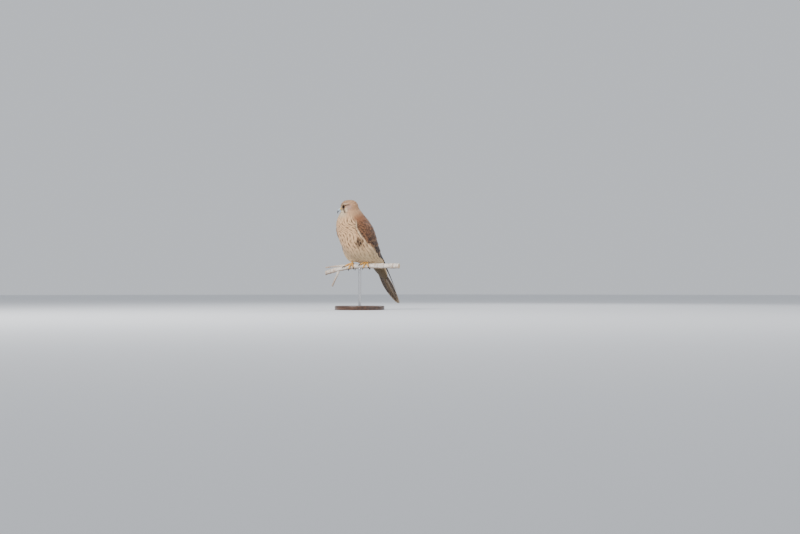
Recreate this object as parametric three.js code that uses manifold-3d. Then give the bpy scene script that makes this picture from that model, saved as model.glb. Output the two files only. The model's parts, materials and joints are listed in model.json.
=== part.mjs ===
// A female common kestrel, life size, standing on a short cut length of birch branch that a plain
// display stand holds up. Millimetres, +Z up. The bird faces -Y and its left side is +X.
// The origin is the centre of the stand's underside; the bird, the branch and the rod are modelled
// from the branch's upper side, PERCH_TOP over the floor.

import * as THREE from 'three';
import { mergeVertices } from 'three/addons/utils/BufferGeometryUtils.js';
import Module from 'manifold-3d';

const wasm = await Module();
wasm.setup();

// Driving sizes
const GAP = 0.3; // kept between pieces that touch
const PERCH_TOP = 134; // just high enough for the hanging tail to clear the floor
const PERCH_TURN = 30; // degrees between the branch and the line across the bird's hips
const FOOT_SPREAD = 23; // along the branch, from the middle to each foot
const HEAD_TURN = -48; // degrees, towards the bird's right
const HEAD_NOD = 18; // degrees, bill down
const EYE_RADIUS = 5.6;

// Small helpers
const V = (x, y, z) => new THREE.Vector3(x, y, z);
const rad = THREE.MathUtils.degToRad;
const lerp = THREE.MathUtils.lerp;
const smooth = THREE.MathUtils.smoothstep;

// A value of a list that is spread evenly over 0 to 1, on a smooth line through its entries.
function along(list, t) {
  const curve = new THREE.CatmullRomCurve3(list.map((v) => V(v, 0, 0)));
  return curve.getPoint(Math.min(1, Math.max(0, t))).x;
}

// A closed geometry as a manifold-3d solid, with its faces turned outwards.
function solidOf(geometry) {
  const bare = new THREE.BufferGeometry();
  bare.setAttribute('position', geometry.getAttribute('position'));
  bare.setIndex(geometry.index);
  const merged = mergeVertices(bare, 1e-4);
  const index = merged.index.array;
  const corners = [];
  for (let i = 0; i < index.length; i += 3) {
    const [a, b, c] = [index[i], index[i + 1], index[i + 2]];
    if (a !== b && b !== c && c !== a) corners.push(a, b, c);
  }
  const make = (list) =>
    new wasm.Manifold(
      new wasm.Mesh({
        numProp: 3,
        vertProperties: new Float32Array(merged.getAttribute('position').array),
        triVerts: new Uint32Array(list),
      }),
    );
  const solid = make(corners);
  if (solid.volume() > 0) return solid;
  for (let i = 0; i < corners.length; i += 3) {
    [corners[i + 1], corners[i + 2]] = [corners[i + 2], corners[i + 1]];
  }
  return make(corners);
}

// The largest closed surface of a solid, which drops loose scraps and fills sealed hollows.
function largest(solid) {
  return solid.decompose().sort((a, b) => b.volume() - a.volume())[0];
}

function geometryOf(solid) {
  const { vertProperties, numProp, triVerts } = solid.getMesh();
  const count = vertProperties.length / numProp;
  const position = new Float32Array(count * 3);
  for (let i = 0; i < count; i++) {
    position.set(vertProperties.subarray(i * numProp, i * numProp + 3), i * 3);
  }
  const geometry = new THREE.BufferGeometry();
  geometry.setAttribute('position', new THREE.BufferAttribute(position, 3));
  geometry.setIndex(new THREE.BufferAttribute(new Uint32Array(triVerts), 1));
  geometry.computeVertexNormals();
  return geometry;
}

const unite = (solids) => solids.reduce((all, one) => all.add(one));

// A solid through closed rings of points. A fan of triangles round its middle closes each end.
function ringSolid(rings) {
  const rows = rings.length;
  const columns = rings[0].length;
  const middleOf = (ring) =>
    ring.reduce((sum, p) => sum.add(p), V(0, 0, 0)).divideScalar(columns);
  const points = [...rings.flat(), middleOf(rings[0]), middleOf(rings[rows - 1])];
  const index = [];
  for (let j = 0; j < columns; j++) {
    const next = (j + 1) % columns;
    for (let i = 0; i < rows - 1; i++) {
      const [a, b] = [i * columns + j, i * columns + next];
      index.push(a, b, b + columns, a, b + columns, a + columns);
    }
    const last = (rows - 1) * columns;
    index.push(rows * columns, next, j);
    index.push(rows * columns + 1, last + j, last + next);
  }
  return indexedSolid(points, index);
}

function indexedSolid(points, index) {
  const geometry = new THREE.BufferGeometry();
  geometry.setAttribute(
    'position',
    new THREE.Float32BufferAttribute(points.flatMap((p) => p.toArray()), 3),
  );
  geometry.setIndex(index);
  return solidOf(geometry);
}

// A tube along a smooth path, of a radius that may change from end to end, grown by `grow`.
function tube(points, radii, { steps = 10, sides = 8, grow = 0, flat = 1 } = {}) {
  const curve = new THREE.CatmullRomCurve3(points);
  const { normals, binormals, tangents } = curve.computeFrenetFrames(steps, false);
  const rings = [];
  for (let i = 0; i <= steps; i++) {
    const middle = curve.getPointAt(i / steps);
    if (i === 0) middle.addScaledVector(tangents[0], -grow);
    if (i === steps) middle.addScaledVector(tangents[steps], grow);
    const radius = along(radii, i / steps) + grow;
    const ring = [];
    for (let j = 0; j < sides; j++) {
      const turn = (j / sides) * 2 * Math.PI;
      ring.push(
        middle
          .clone()
          .addScaledVector(normals[i], radius * Math.cos(turn))
          .addScaledVector(binormals[i], radius * flat * Math.sin(turn)),
      );
    }
    rings.push(ring);
  }
  return ringSolid(rings);
}

// Body forms
// A form is a row of stations in the bird's middle plane. Each gives its belly point and its back
// point as [y, z], and its half width. Smooth lines run through them, and t counts the stations.
class Form {
  constructor(stations, roundness = 1) {
    this.last = stations.length - 1;
    this.roundness = roundness;
    this.belly = new THREE.CatmullRomCurve3(stations.map((s) => V(0, ...s.belly)));
    this.back = new THREE.CatmullRomCurve3(stations.map((s) => V(0, ...s.back)));
    this.half = new THREE.CatmullRomCurve3(stations.map((s) => V(s.half, 0, 0)));
  }

  // The point at station t. theta is 0 on the back, 90 degrees on the left side, 180 on the belly.
  point(t, theta, grow = 0) {
    const belly = this.belly.getPoint(t / this.last);
    const back = this.back.getPoint(t / this.last);
    const half = this.half.getPoint(t / this.last).x + grow;
    const middle = belly.clone().add(back).multiplyScalar(0.5);
    const rise = back.clone().sub(belly).multiplyScalar(0.5);
    rise.setLength(rise.length() + grow);
    const power = (v) => Math.sign(v) * Math.abs(v) ** this.roundness;
    middle.addScaledVector(rise, power(Math.cos(theta)));
    middle.x += half * power(Math.sin(theta));
    return middle;
  }

  normal(t, theta) {
    const d = 0.02;
    const forward = this.point(t + d, theta).sub(this.point(t - d, theta));
    const around = this.point(t, theta + d).sub(this.point(t, theta - d));
    return around.cross(forward).normalize();
  }

  solid(from, to, rows, columns, grow = 0) {
    const rings = [];
    for (let i = 0; i <= rows; i++) {
      const ring = [];
      for (let j = 0; j < columns; j++) {
        ring.push(this.point(lerp(from, to, i / rows), (j / columns) * 2 * Math.PI, grow));
      }
      rings.push(ring);
    }
    return ringSolid(rings);
  }
}

// The tail's middle line runs from TAIL_ROOT to TAIL_TIP; tailUp is square to it.
const TAIL_ROOT = V(0, 60, 14);
const TAIL_TIP = V(0, 151, -117);
const tailAlong = TAIL_TIP.clone().sub(TAIL_ROOT);
const tailUp = V(0, -tailAlong.z, tailAlong.y).normalize();
const tailMiddle = (k) => TAIL_ROOT.clone().addScaledVector(tailAlong, k);

// A station of the body over the tail, k along it, as deep below and above the tail's middle as told.
function tailStation(k, below, above, half) {
  const belly = tailMiddle(k).addScaledVector(tailUp, -below);
  const back = tailMiddle(k).addScaledVector(tailUp, above);
  return { belly: [belly.y, belly.z], back: [back.y, back.z], half };
}

// Neck, breast and belly, shared by the two forms below
const BREAST = [
  { belly: [-60, 150], back: [-18, 167], half: 19 },
  { belly: [-67, 140], back: [-8, 157], half: 26.5 },
  { belly: [-73, 127], back: [4, 143], half: 34.5 },
  { belly: [-75, 111], back: [18, 128], half: 42 },
  { belly: [-70, 90], back: [31, 110], half: 47.5 },
  { belly: [-61, 66], back: [41, 89], half: 49.5 },
  { belly: [-49, 44], back: [49, 68], half: 48.5 },
  { belly: [-31, 23], back: [57, 50], half: 45 },
  { belly: [-7, 8], back: [64, 37], half: 39.5 },
  { belly: [21, -3], back: [71, 26], half: 33 },
];
const ROUNDNESS = 0.94;

// The outside of the folded wings, which narrows over the tail
const body = new Form(
  [
    ...BREAST,
    tailStation(0.06, 17, 15, 27),
    tailStation(0.25, 11, 12, 24.5),
    tailStation(0.43, 7, 10, 22),
    tailStation(0.6, 6, 8.5, 19.5),
    tailStation(0.76, 6, 7.5, 17),
  ],
  ROUNDNESS,
);

// The trunk, which ends in the tail coverts
const trunk = new Form(
  [
    ...BREAST,
    tailStation(0.06, 16, 14, 26),
    tailStation(0.22, 11, 9, 22),
    tailStation(0.36, 6, 6, 16),
    tailStation(0.44, 3.4, 3.4, 8),
  ],
  ROUNDNESS,
);
const NECK_CUT = 2.55; // station of the thin cut between neck and breast

// Head: an ellipsoid with raised and sunk places, in its own frame, facing -Y
const HEAD_CENTRE = V(0, -42, 163);
const HEAD = { half: 22.5, front: 22, rear: 26, up: 20.5, down: 22 };
const HEAD_FORMS = [
  { name: 'brow', at: V(0.62, -0.68, 0.42), spread: V(0.5, 0.45, 0.17), rise: 1.9 },
  { name: 'socket', at: V(0.8, -0.58, 0.12), spread: V(0.3, 0.3, 0.2), rise: -1.6 },
  { name: 'cheek', at: V(0.7, -0.3, -0.5), spread: V(0.4, 0.5, 0.4), rise: 1.6 },
  { name: 'forehead', at: V(0, -0.7, 0.7), spread: V(0.5, 0.4, 0.35), rise: 0.8 },
  { name: 'hind crown', at: V(0, 0.5, 0.85), spread: V(0.9, 0.6, 0.5), rise: -2.2 },
  { name: 'nape', at: V(0, 0.9, -0.3), spread: V(0.8, 0.6, 0.5), rise: 1.5 },
];
const headPlace = new THREE.Matrix4()
  .makeRotationZ(rad(HEAD_TURN))
  .multiply(new THREE.Matrix4().makeRotationX(rad(HEAD_NOD)))
  .setPosition(HEAD_CENTRE);
const inHead = (point) => point.clone().applyMatrix4(headPlace);

function headPoint(way, grow = 0) {
  const face = smooth(-way.y, 0.35, 1);
  const point = V(
    way.x * HEAD.half * (1 - 0.3 * face),
    way.y * (way.y < 0 ? HEAD.front : HEAD.rear),
    way.z * (way.z > 0 ? HEAD.up : HEAD.down),
  );
  for (const { at, spread, rise } of HEAD_FORMS) {
    const off = V(Math.abs(way.x), way.y, way.z).sub(at).divide(spread);
    point.addScaledVector(way, rise * Math.exp(-off.lengthSq()));
  }
  return point.addScaledVector(way, grow);
}

function headSolid(grow = 0) {
  const ball = new THREE.SphereGeometry(1, 24, 15).rotateX(Math.PI / 2);
  const position = ball.getAttribute('position');
  const way = V(0, 0, 0);
  for (let i = 0; i < position.count; i++) {
    way.fromBufferAttribute(position, i).normalize();
    const point = inHead(headPoint(way, grow));
    position.setXYZ(i, point.x, point.y, point.z);
  }
  return solidOf(ball);
}

// A geometry made in the head's frame, as a solid in the bird's.
const solidInHead = (geometry) => solidOf(geometry.applyMatrix4(headPlace));

// A form with stations in the head's frame, for the cere and the two halves of the bill
function billSolid(stations, rows, columns, grow = 0) {
  const form = new Form(stations, 0.9);
  const rings = [];
  for (let i = 0; i <= rows; i++) {
    const ring = [];
    for (let j = 0; j < columns; j++) {
      ring.push(inHead(form.point((i / rows) * form.last, (j / columns) * 2 * Math.PI, grow)));
    }
    rings.push(ring);
  }
  return ringSolid(rings);
}

const CERE = [
  { belly: [-17, -6.6], back: [-17, 5.4], half: 6.6 },
  { belly: [-21, -5.2], back: [-21, 5.2], half: 5.9 },
  { belly: [-24.6, -2.9], back: [-24.6, 4.4], half: 5.0 },
];
const UPPER_BILL = [
  { belly: [-24.9, -2.7], back: [-24.9, 4.0], half: 4.7 },
  { belly: [-28, -2.9], back: [-28, 3.8], half: 4.2 },
  { belly: [-31, -3.9], back: [-31.8, 2.0], half: 3.3 },
  { belly: [-32.8, -4.6], back: [-34.8, -1.4], half: 2.2 },
  { belly: [-34.5, -7.2], back: [-36.3, -6.0], half: 1.1 },
  { belly: [-35.6, -9.6], back: [-36.0, -9.4], half: 0.3 },
];
const LOWER_BILL = [
  { belly: [-18, -9.4], back: [-18, -6.0], half: 4.8 },
  { belly: [-24, -8.0], back: [-24, -4.0], half: 4.1 },
  { belly: [-28.5, -6.8], back: [-28.5, -3.8], half: 3.0 },
  { belly: [-31.4, -5.6], back: [-31.6, -4.8], half: 0.9 },
];

const EYE_WAY = V(0.8, -0.56, 0.14).normalize(); // from the head's centre to the left eye
const EYE_OUT = V(0.86, -0.5, 0.06).normalize(); // the way the left eye looks
const EYE_SINK = 3.9; // from the socket's surface in to the eyeball's centre

function eyeCentre(side) {
  const centre = headPoint(EYE_WAY).addScaledVector(EYE_OUT, -EYE_SINK);
  return V(side * centre.x, centre.y, centre.z);
}

function eyeSolid(side, grow = 0) {
  const ball = new THREE.SphereGeometry(EYE_RADIUS + grow, 14, 9);
  return solidInHead(ball.translate(...eyeCentre(side).toArray()));
}

// The ring of the lids, round the part of the eyeball that shows
const LID_RADIUS = 5.0;
const LID_THICK = 1.0;
const LID_OUT = 3.1; // from the eyeball's centre out to the ring

function lidSolid(side, grow = 0) {
  const out = V(side * EYE_OUT.x, EYE_OUT.y, EYE_OUT.z);
  const ring = new THREE.TorusGeometry(LID_RADIUS, LID_THICK + grow, 5, 14);
  ring.applyQuaternion(new THREE.Quaternion().setFromUnitVectors(V(0, 0, 1), out));
  const place = eyeCentre(side).addScaledVector(out, LID_OUT);
  return solidInHead(ring.translate(...place.toArray()));
}

// The line of the mouth, a groove from the corner of the bill back under the eye
function gapeSolid(side) {
  const groove = new THREE.BoxGeometry(5, 9, 0.5).rotateX(rad(8)).rotateZ(side * rad(24));
  return solidInHead(groove.translate(side * 9, -18.5, -4.4));
}

function nostrilSolid(side) {
  const hole = new THREE.SphereGeometry(1.0, 8, 5);
  return solidInHead(hole.translate(side * 5.4, -22.6, 1.6));
}

function tubercleSolid(side) {
  const peg = new THREE.CylinderGeometry(0.35, 0.35, 2.4, 5).rotateZ(Math.PI / 2);
  return solidInHead(peg.translate(side * 4.2, -22.6, 1.6));
}

// Branch: its middle at u along it, and the directions square to it
const PERCH_FROM = -105;
const PERCH_TO = 120;
const perchRadius = (u) => 6.8 + 0.006 * u;
const acrossPerch = V(Math.cos(rad(PERCH_TURN)), Math.sin(rad(PERCH_TURN)), 0);
const perchUp = V(0, 0, 1);
const perchFront = acrossPerch.clone().cross(perchUp); // towards the bird's front

function perchMiddle(u) {
  const drop = 0.0013 * Math.min(0, u - 20) ** 2; // it bends down at its thin end
  return acrossPerch.clone().multiplyScalar(u).addScaledVector(perchUp, -drop - perchRadius(u));
}

// A point off the bark: turn is 0 on top and 90 degrees on the front, off is the distance from the bark.
function offBark(u, turn, off) {
  return perchMiddle(u)
    .addScaledVector(perchUp, Math.cos(turn) * (perchRadius(u) + off))
    .addScaledVector(perchFront, Math.sin(turn) * (perchRadius(u) + off));
}

function perchSolid(grow = 0) {
  const rows = 20;
  const columns = 12;
  const rings = [];
  for (let i = 0; i <= rows; i++) {
    const ends = i === 0 ? -grow : i === rows ? grow : 0;
    const u = lerp(PERCH_FROM, PERCH_TO, i / rows) + ends;
    const knot = 0.35 * Math.sin(u * 0.21) + 0.25 * Math.sin(u * 0.47 + 1);
    const ring = [];
    for (let j = 0; j < columns; j++) {
      const turn = (j / columns) * 2 * Math.PI;
      const wave = Math.abs(u) < 45 ? 0 : 0.3 * Math.sin(2 * turn + u * 0.05) + knot;
      ring.push(offBark(u, turn, wave + grow));
    }
    rings.push(ring);
  }
  return ringSolid(rings);
}

// A thin twig that springs from the branch near the right foot and runs beside it, and one that hangs
function twigSolids() {
  const beside = [
    offBark(-34, rad(10), -3),
    offBark(-52, rad(6), 1.5),
    offBark(-78, rad(4), 5),
    offBark(-106, rad(0), 10),
  ];
  const hanging = [
    offBark(-64, rad(170), -4),
    offBark(-68, rad(178), 6),
    offBark(-76, rad(182), 20),
    offBark(-87, rad(186), 38),
  ];
  return [
    tube(beside, [3.2, 2.6, 2.2, 1.9], { steps: 7, sides: 8 }),
    tube(hanging, [4.2, 3.2, 2.7, 2.4], { steps: 6, sides: 8 }),
  ];
}

// Feet: each toe runs round the branch from the foot's hub. turn is how far round it reaches, in
// degrees, forwards if positive; slide is how far it goes along the branch.
const TOE_RADIUS = 2.3;
const TOES = {
  left: [
    { toe: 'inner', turn: 62, slide: -18 },
    { toe: 'middle', turn: 118, slide: -9 },
    { toe: 'outer', turn: 104, slide: 7 },
    { toe: 'hind', turn: -100, slide: 4 },
  ],
  right: [
    { toe: 'inner', turn: 104, slide: 6 },
    { toe: 'middle', turn: 118, slide: -7 },
    { toe: 'outer', turn: 58, slide: -20 },
    { toe: 'hind', turn: -100, slide: 5 },
  ],
};
const sideOf = { left: 1, right: -1 };
const footPlace = (name) => sideOf[name] * FOOT_SPREAD;

function toePoint(name, toe, k) {
  const start = 14 * Math.sign(toe.turn);
  const turn = rad(lerp(start * 0.2, toe.turn, k));
  const arch = 0.9 * Math.sin(Math.PI * Math.min(1, k * 1.4));
  return offBark(footPlace(name) + toe.slide * k, turn, TOE_RADIUS + GAP + arch);
}

function toeSolid(name, toe, grow = 0) {
  const points = [0, 0.25, 0.5, 0.75, 1].map((k) => toePoint(name, toe, k));
  return tube(points, [2.5, 2.5, 2.3, 2.5, 1.9], { steps: 6, sides: 6, grow });
}

function clawSolid(name, toe) {
  const end = toePoint(name, toe, 1);
  const ahead = end.clone().sub(toePoint(name, toe, 0.93)).normalize();
  const inward = perchMiddle(footPlace(name) + toe.slide).sub(end);
  inward.addScaledVector(ahead, -inward.dot(ahead)).normalize();
  const reach = 10.5;
  const points = [0, 0.25, 0.5, 0.75, 1].map((k) =>
    end
      .clone()
      .addScaledVector(ahead, GAP + reach * k)
      .addScaledVector(inward, 3.4 * k * k - 1.2 * Math.sin(Math.PI * k)),
  );
  return tube(points, [1.6, 1.5, 1.1, 0.7, 0.15], { steps: 5, sides: 7 });
}

function legPoints(name) {
  const side = sideOf[name];
  const foot = perchMiddle(footPlace(name)).addScaledVector(perchUp, perchRadius(0));
  return [
    foot.clone().add(V(0, 0, 3)),
    foot.clone().add(V(side * 0.4, 1.5, 10)),
    foot.clone().add(V(side * 1.0, 3.5, 19)),
  ];
}

// Tarsus, toes and the hub they spring from
function footSolid(name, grow = 0) {
  const hub = new THREE.SphereGeometry(4.2 + grow, 10, 7);
  hub.translate(...toePoint(name, TOES[name][1], 0).toArray());
  return unite([
    tube(legPoints(name), [3.1, 2.7, 2.8], { steps: 3, sides: 8, grow }),
    solidOf(hub),
    ...TOES[name].map((toe) => toeSolid(name, toe, grow)),
  ]);
}

// Feathered thigh, from the flank down to just over the foot
function thighSolid(name, grow = 0) {
  const side = sideOf[name];
  const foot = legPoints(name)[1];
  const points = [
    V(side * 35, foot.y * 0.7, 60),
    V(side * 37, foot.y * 0.7 - 4, 42),
    V(side * 29, foot.y - 1, 23),
    V(foot.x, foot.y, foot.z - 1.5),
  ];
  return tube(points, [13, 15.5, 12.5, 6.5], { steps: 7, sides: 12, grow });
}

// Wings: a patch of the body form from the shoulder to the wing tip, between two edges
const WING_FROM = 2.6;
const WING_TO = 14;
const WING_LOW = [106, 116, 109, 99, 90, 77, 66, 60, 58]; // degrees round from the back
const WING_HIGH = [66, 38, 22, 14, 8, 5, 5, 7, 12];
const CORE_END = 0.62; // share of the wing that its solid core reaches; feathers alone go further
const CORE_DEPTH = 5;

// s runs from the shoulder to the tip, c from the lower edge to the one on the back.
function wingPoint(side, s, c, lift) {
  const t = lerp(WING_FROM, WING_TO, s);
  const theta = side * rad(lerp(along(WING_LOW, s), along(WING_HIGH, s), c));
  return body.point(t, theta).addScaledVector(body.normal(t, theta), lift);
}

// A closed plate over a grid: outer and inner give its two faces at (i, j).
function plateSolid(rows, columns, outer, inner) {
  const rings = [];
  for (let i = 0; i <= rows; i++) {
    const ring = [];
    for (let j = 0; j <= columns; j++) ring.push(outer(i / rows, j / columns));
    for (let j = columns; j >= 0; j--) ring.push(inner(i / rows, j / columns));
    rings.push(ring);
  }
  return plateOf(rings);
}

// Joins rings of equal size; each ring's ends are closed by the same quads as its two faces.
function plateOf(rings) {
  const count = rings[0].length;
  const half = count / 2;
  const index = [];
  const quad = (a, b, c, d) => index.push(a, b, c, a, c, d);
  for (let i = 0; i < rings.length - 1; i++) {
    for (let j = 0; j < count; j++) {
      const next = (j + 1) % count;
      const [a, b] = [i * count + j, i * count + next];
      // both faces are split along the same diagonal
      if (j < half) quad(a, a + count, b + count, b);
      else quad(b, a, a + count, b + count);
    }
  }
  for (const [row, flip] of [[0, false], [rings.length - 1, true]]) {
    for (let j = 0; j < half - 1; j++) {
      const start = row * count;
      const corners = [j, j + 1, count - 2 - j, count - 1 - j].map((n) => start + n);
      if (flip) corners.reverse();
      quad(...corners);
    }
  }
  return indexedSolid(rings.flat(), index);
}

// The core of a wing, let into the trunk. It thins out towards its end.
function wingCore(side, grow = 0) {
  const wide = (c) => lerp(-grow * 0.012, 1 + grow * 0.012, c);
  const long = (s) => lerp(-grow * 0.004, CORE_END + grow * 0.004, s);
  const depth = (s) => CORE_DEPTH * (1 - 0.75 * s ** 3) + grow;
  return plateSolid(
    9,
    4,
    (s, c) => wingPoint(side, long(s), wide(c), grow * 4),
    (s, c) => wingPoint(side, long(s), wide(c), -depth(s)),
  );
}

// Half the width of a feather's vane, as a share of its widest, k from its root to its tip
const vaneOutline = (k) => 0.55 + 0.45 * smooth(k, 0, 0.3) - 0.68 * smooth(k, 0.62, 1) ** 1.6;

// Tiers of the wing's feathers, from the one that lies undermost. Each entry gives what its first
// and its last feather have: root and tip as [s, c], half width as a share of the wing's width, and
// how far the tip stands off the core.
const WING_TIERS = [
  {
    name: 'primaries',
    rows: 4,
    count: 7,
    root: [[0.42, 0.2], [0.4, 0.62]],
    tip: [[1.0, 0.42], [0.72, 0.66]],
    half: [0.22, 0.26],
    lift: [0.1, 1.5],
  },
  {
    name: 'secondaries',
    rows: 3,
    count: 5,
    root: [[0.34, 0.3], [0.3, 0.8]],
    tip: [[0.69, 0.42], [0.57, 0.93]],
    half: [0.2, 0.16],
    lift: [1.9, 2.5],
  },
  {
    name: 'primary coverts',
    rows: 2,
    count: 3,
    root: [[0.28, 0.12], [0.28, 0.26]],
    tip: [[0.5, 0.13], [0.47, 0.3]],
    half: [0.12, 0.11],
    lift: [1.2, 1.6],
  },
  {
    name: 'greater coverts',
    rows: 2,
    count: 5,
    root: [[0.24, 0.24], [0.22, 0.86]],
    tip: [[0.43, 0.26], [0.41, 0.93]],
    half: [0.13, 0.13],
    lift: [2.2, 2.7],
  },
  {
    name: 'median coverts',
    rows: 2,
    count: 5,
    root: [[0.12, 0.16], [0.12, 0.82]],
    tip: [[0.3, 0.13], [0.28, 0.9]],
    half: [0.13, 0.13],
    lift: [2.0, 2.3],
  },
];
const VANE_THICK = 0.9;
const VANE_SUNK = 1.7; // how deep the vanes reach into the core
const VANE_CLEAR = 0.6; // kept off the trunk where a vane has no core under it

// The feather `share` of the way through a tier; `stray` varies its length a little.
function wingVane(side, tier, share, stray) {
  const mix = ([first, last]) => lerp(first, last, share);
  const mixPair = ([first, last]) => [0, 1].map((n) => lerp(first[n], last[n], share));
  const [rootS, rootC] = mixPair(tier.root);
  const [tipS, tipC] = mixPair(tier.tip);
  const place = (k, q) => {
    const bend = 0.03 * Math.sin(Math.PI * k);
    return [
      lerp(rootS, tipS + stray, k),
      lerp(rootC, tipC, k) + bend + (2 * q - 1) * mix(tier.half) * vaneOutline(k),
    ];
  };
  const top = (k, q) => lerp(-1.2, mix(tier.lift), k ** 0.8) - 0.5 * (1 - q);
  const face = (under) => (k, q) => {
    const [s, c] = place(k, q);
    const onCore = c > 0.02 && c < 0.98 && s < CORE_END;
    const high = onCore ? top(k, q) : Math.max(top(k, q), VANE_CLEAR + VANE_THICK * 0.7);
    const low = onCore ? -VANE_SUNK : high - VANE_THICK * lerp(1, 0.7, k);
    return wingPoint(side, s, c, under ? low : high);
  };
  return plateSolid(tier.rows, 1, face(false), face(true));
}

// A repeatable random number from 0 to 1 for each whole number
const chance = (n) => Math.abs(Math.sin(n * 127.1 + 11.7) * 43758.5453) % 1;

function wingSolid(side) {
  const vanes = WING_TIERS.flatMap((tier, row) =>
    Array.from({ length: tier.count }, (_, i) => {
      const stray = 0.006 * (chance(row * 20 + i + side) - 0.5);
      return wingVane(side, tier, i / (tier.count - 1), stray);
    }),
  );
  return largest(unite([wingCore(side), ...vanes]));
}

// Tail: six feathers on each side, the middle pair longest and uppermost
const TAIL_FEATHERS = 6;
const TAIL_CORE = { from: -0.12, to: 0.34 };
const tailHalf = (k) => lerp(10, 16, smooth(k, -0.1, 0.4));

function tailCore(grow = 0) {
  const face = (up) => (k, c) => {
    const place = lerp(TAIL_CORE.from - grow * 0.01, TAIL_CORE.to + grow * 0.01, k);
    const thick = lerp(3.2, 1.6, smooth(place, 0, TAIL_CORE.to)) + grow;
    const point = tailMiddle(place).addScaledVector(tailUp, up * thick);
    point.x = (2 * c - 1) * (tailHalf(place) + grow);
    return point;
  };
  return plateSolid(5, 4, face(1), face(-1));
}

function tailVane(side, i, grow = 0) {
  const tipK = 1 - 0.006 * i - 0.0075 * i * i;
  const high = 1.9 - 0.72 * i;
  const face = (up) => (k, q) => {
    const place = lerp(0.02, tipK + grow * 0.01, k);
    const share = 2 * q - 1;
    const reach = lerp(4, 2.5 + 2.55 * i, smooth(k, 0, 0.75));
    const half = 8.6 * vaneOutline(k) * lerp(1, 0.9, i / 5) + grow;
    const sag = 0.35 * share * share + 0.0012 * (reach + share * half) ** 2;
    const thick = lerp(0.55, 0.3, k) + grow;
    const point = tailMiddle(place).addScaledVector(tailUp, high - sag + up * thick);
    point.x = side * (reach + share * half);
    return point;
  };
  return plateSolid(4, 2, face(1), face(-1));
}

function tailSolid(grow = 0) {
  const vanes = [1, -1].flatMap((side) =>
    Array.from({ length: TAIL_FEATHERS }, (_, i) => tailVane(side, i, grow)),
  );
  return largest(unite([tailCore(grow), ...vanes]));
}

// Stand
const BASE_RADIUS = 72;
const BASE_THICK = 12;
const ROD_RADIUS = 4;
const ROD_SOCKET = 8; // how deep the rod goes into the base

function baseSolid() {
  const outline = [
    [0, 0],
    [BASE_RADIUS - 1, 0],
    [BASE_RADIUS, 1],
    [BASE_RADIUS, BASE_THICK - 3],
    [BASE_RADIUS - 3, BASE_THICK],
    [0, BASE_THICK],
  ].map(([r, z]) => new THREE.Vector2(r, z));
  const disc = solidOf(new THREE.LatheGeometry(outline, 40).rotateX(Math.PI / 2));
  const hole = new THREE.CylinderGeometry(ROD_RADIUS + GAP, ROD_RADIUS + GAP, ROD_SOCKET * 2, 20);
  return disc.subtract(solidOf(hole.rotateX(Math.PI / 2).translate(0, 0, BASE_THICK)));
}

function rodSolid() {
  const low = BASE_THICK - ROD_SOCKET + GAP - PERCH_TOP;
  const high = perchMiddle(0).z;
  const rod = new THREE.CylinderGeometry(ROD_RADIUS, ROD_RADIUS, high - low, 20);
  return largest(
    solidOf(rod.rotateX(Math.PI / 2).translate(0, 0, (high + low) / 2)).subtract(perchSolid(GAP)),
  );
}

// Node solids
const sides = ['left', 'right'];
const bird = {};
const headBall = headSolid();
const cereBlock = billSolid(CERE, 3, 12);
const upperBill = billSolid(UPPER_BILL, 9, 12);
const billRoom = unite([billSolid(CERE, 3, 12, GAP), billSolid(LOWER_BILL, 6, 10, GAP)]);

bird.head = largest(
  unite([headBall, lidSolid(1), lidSolid(-1)])
    .subtract(unite([eyeSolid(1, GAP), eyeSolid(-1, GAP)]))
    .subtract(billRoom)
    .subtract(unite([gapeSolid(1), gapeSolid(-1)])),
);
for (const name of sides) bird[`eye_${name}`] = eyeSolid(sideOf[name]);
bird.bill_lower = largest(
  billSolid(LOWER_BILL, 6, 10).subtract(billSolid(UPPER_BILL, 9, 12, GAP)).subtract(
    billSolid(CERE, 3, 12, GAP),
  ),
);
bird.cere = largest(
  cereBlock
    .subtract(unite([nostrilSolid(1), nostrilSolid(-1)]))
    .add(unite([tubercleSolid(1), tubercleSolid(-1)])),
);
bird.bill_upper = largest(upperBill.subtract(billSolid(CERE, 3, 12, GAP)));

// The neck and the torso are one form, parted by a thin cut, with the wings and the tail let in.
const wingRooms = unite([wingCore(1, GAP), wingCore(-1, GAP)]);
const tailRoom = tailSolid(GAP);
const headRoom = unite([headSolid(GAP), lidSolid(1, GAP), lidSolid(-1, GAP)]);
const neckForm = trunk.solid(0, NECK_CUT, 4, 20);
const torsoForm = trunk.solid(NECK_CUT + 0.02, trunk.last, 15, 24);
bird.neck = largest(neckForm.subtract(unite([headRoom, billRoom, wingRooms])));
const footRooms = unite(sides.map((name) => footSolid(name, GAP)));
bird.torso = largest(
  torsoForm.subtract(headRoom).subtract(wingRooms).subtract(tailRoom).subtract(footRooms),
);
bird.tail = largest(tailSolid().subtract(wingRooms));

const torsoRoom = trunk.solid(NECK_CUT, trunk.last, 15, 24, GAP);
const perchRoom = perchSolid(GAP);
for (const name of sides) {
  const side = sideOf[name];
  bird[`wing_${name}`] = largest(wingSolid(side).subtract(unite([bird.torso, bird.tail])));
  bird[`thigh_${name}`] = largest(
    thighSolid(name).subtract(
      unite([torsoRoom, footSolid(name, GAP), perchRoom, bird[`wing_${name}`]]),
    ),
  );
  bird[`foot_${name}`] = largest(footSolid(name).subtract(perchRoom));
  for (const toe of TOES[name]) {
    bird[`claw_${name}_${toe.toe}`] = largest(clawSolid(name, toe).subtract(perchRoom));
  }
}

const branch = largest(unite([perchSolid(), ...twigSolids()]));

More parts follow.
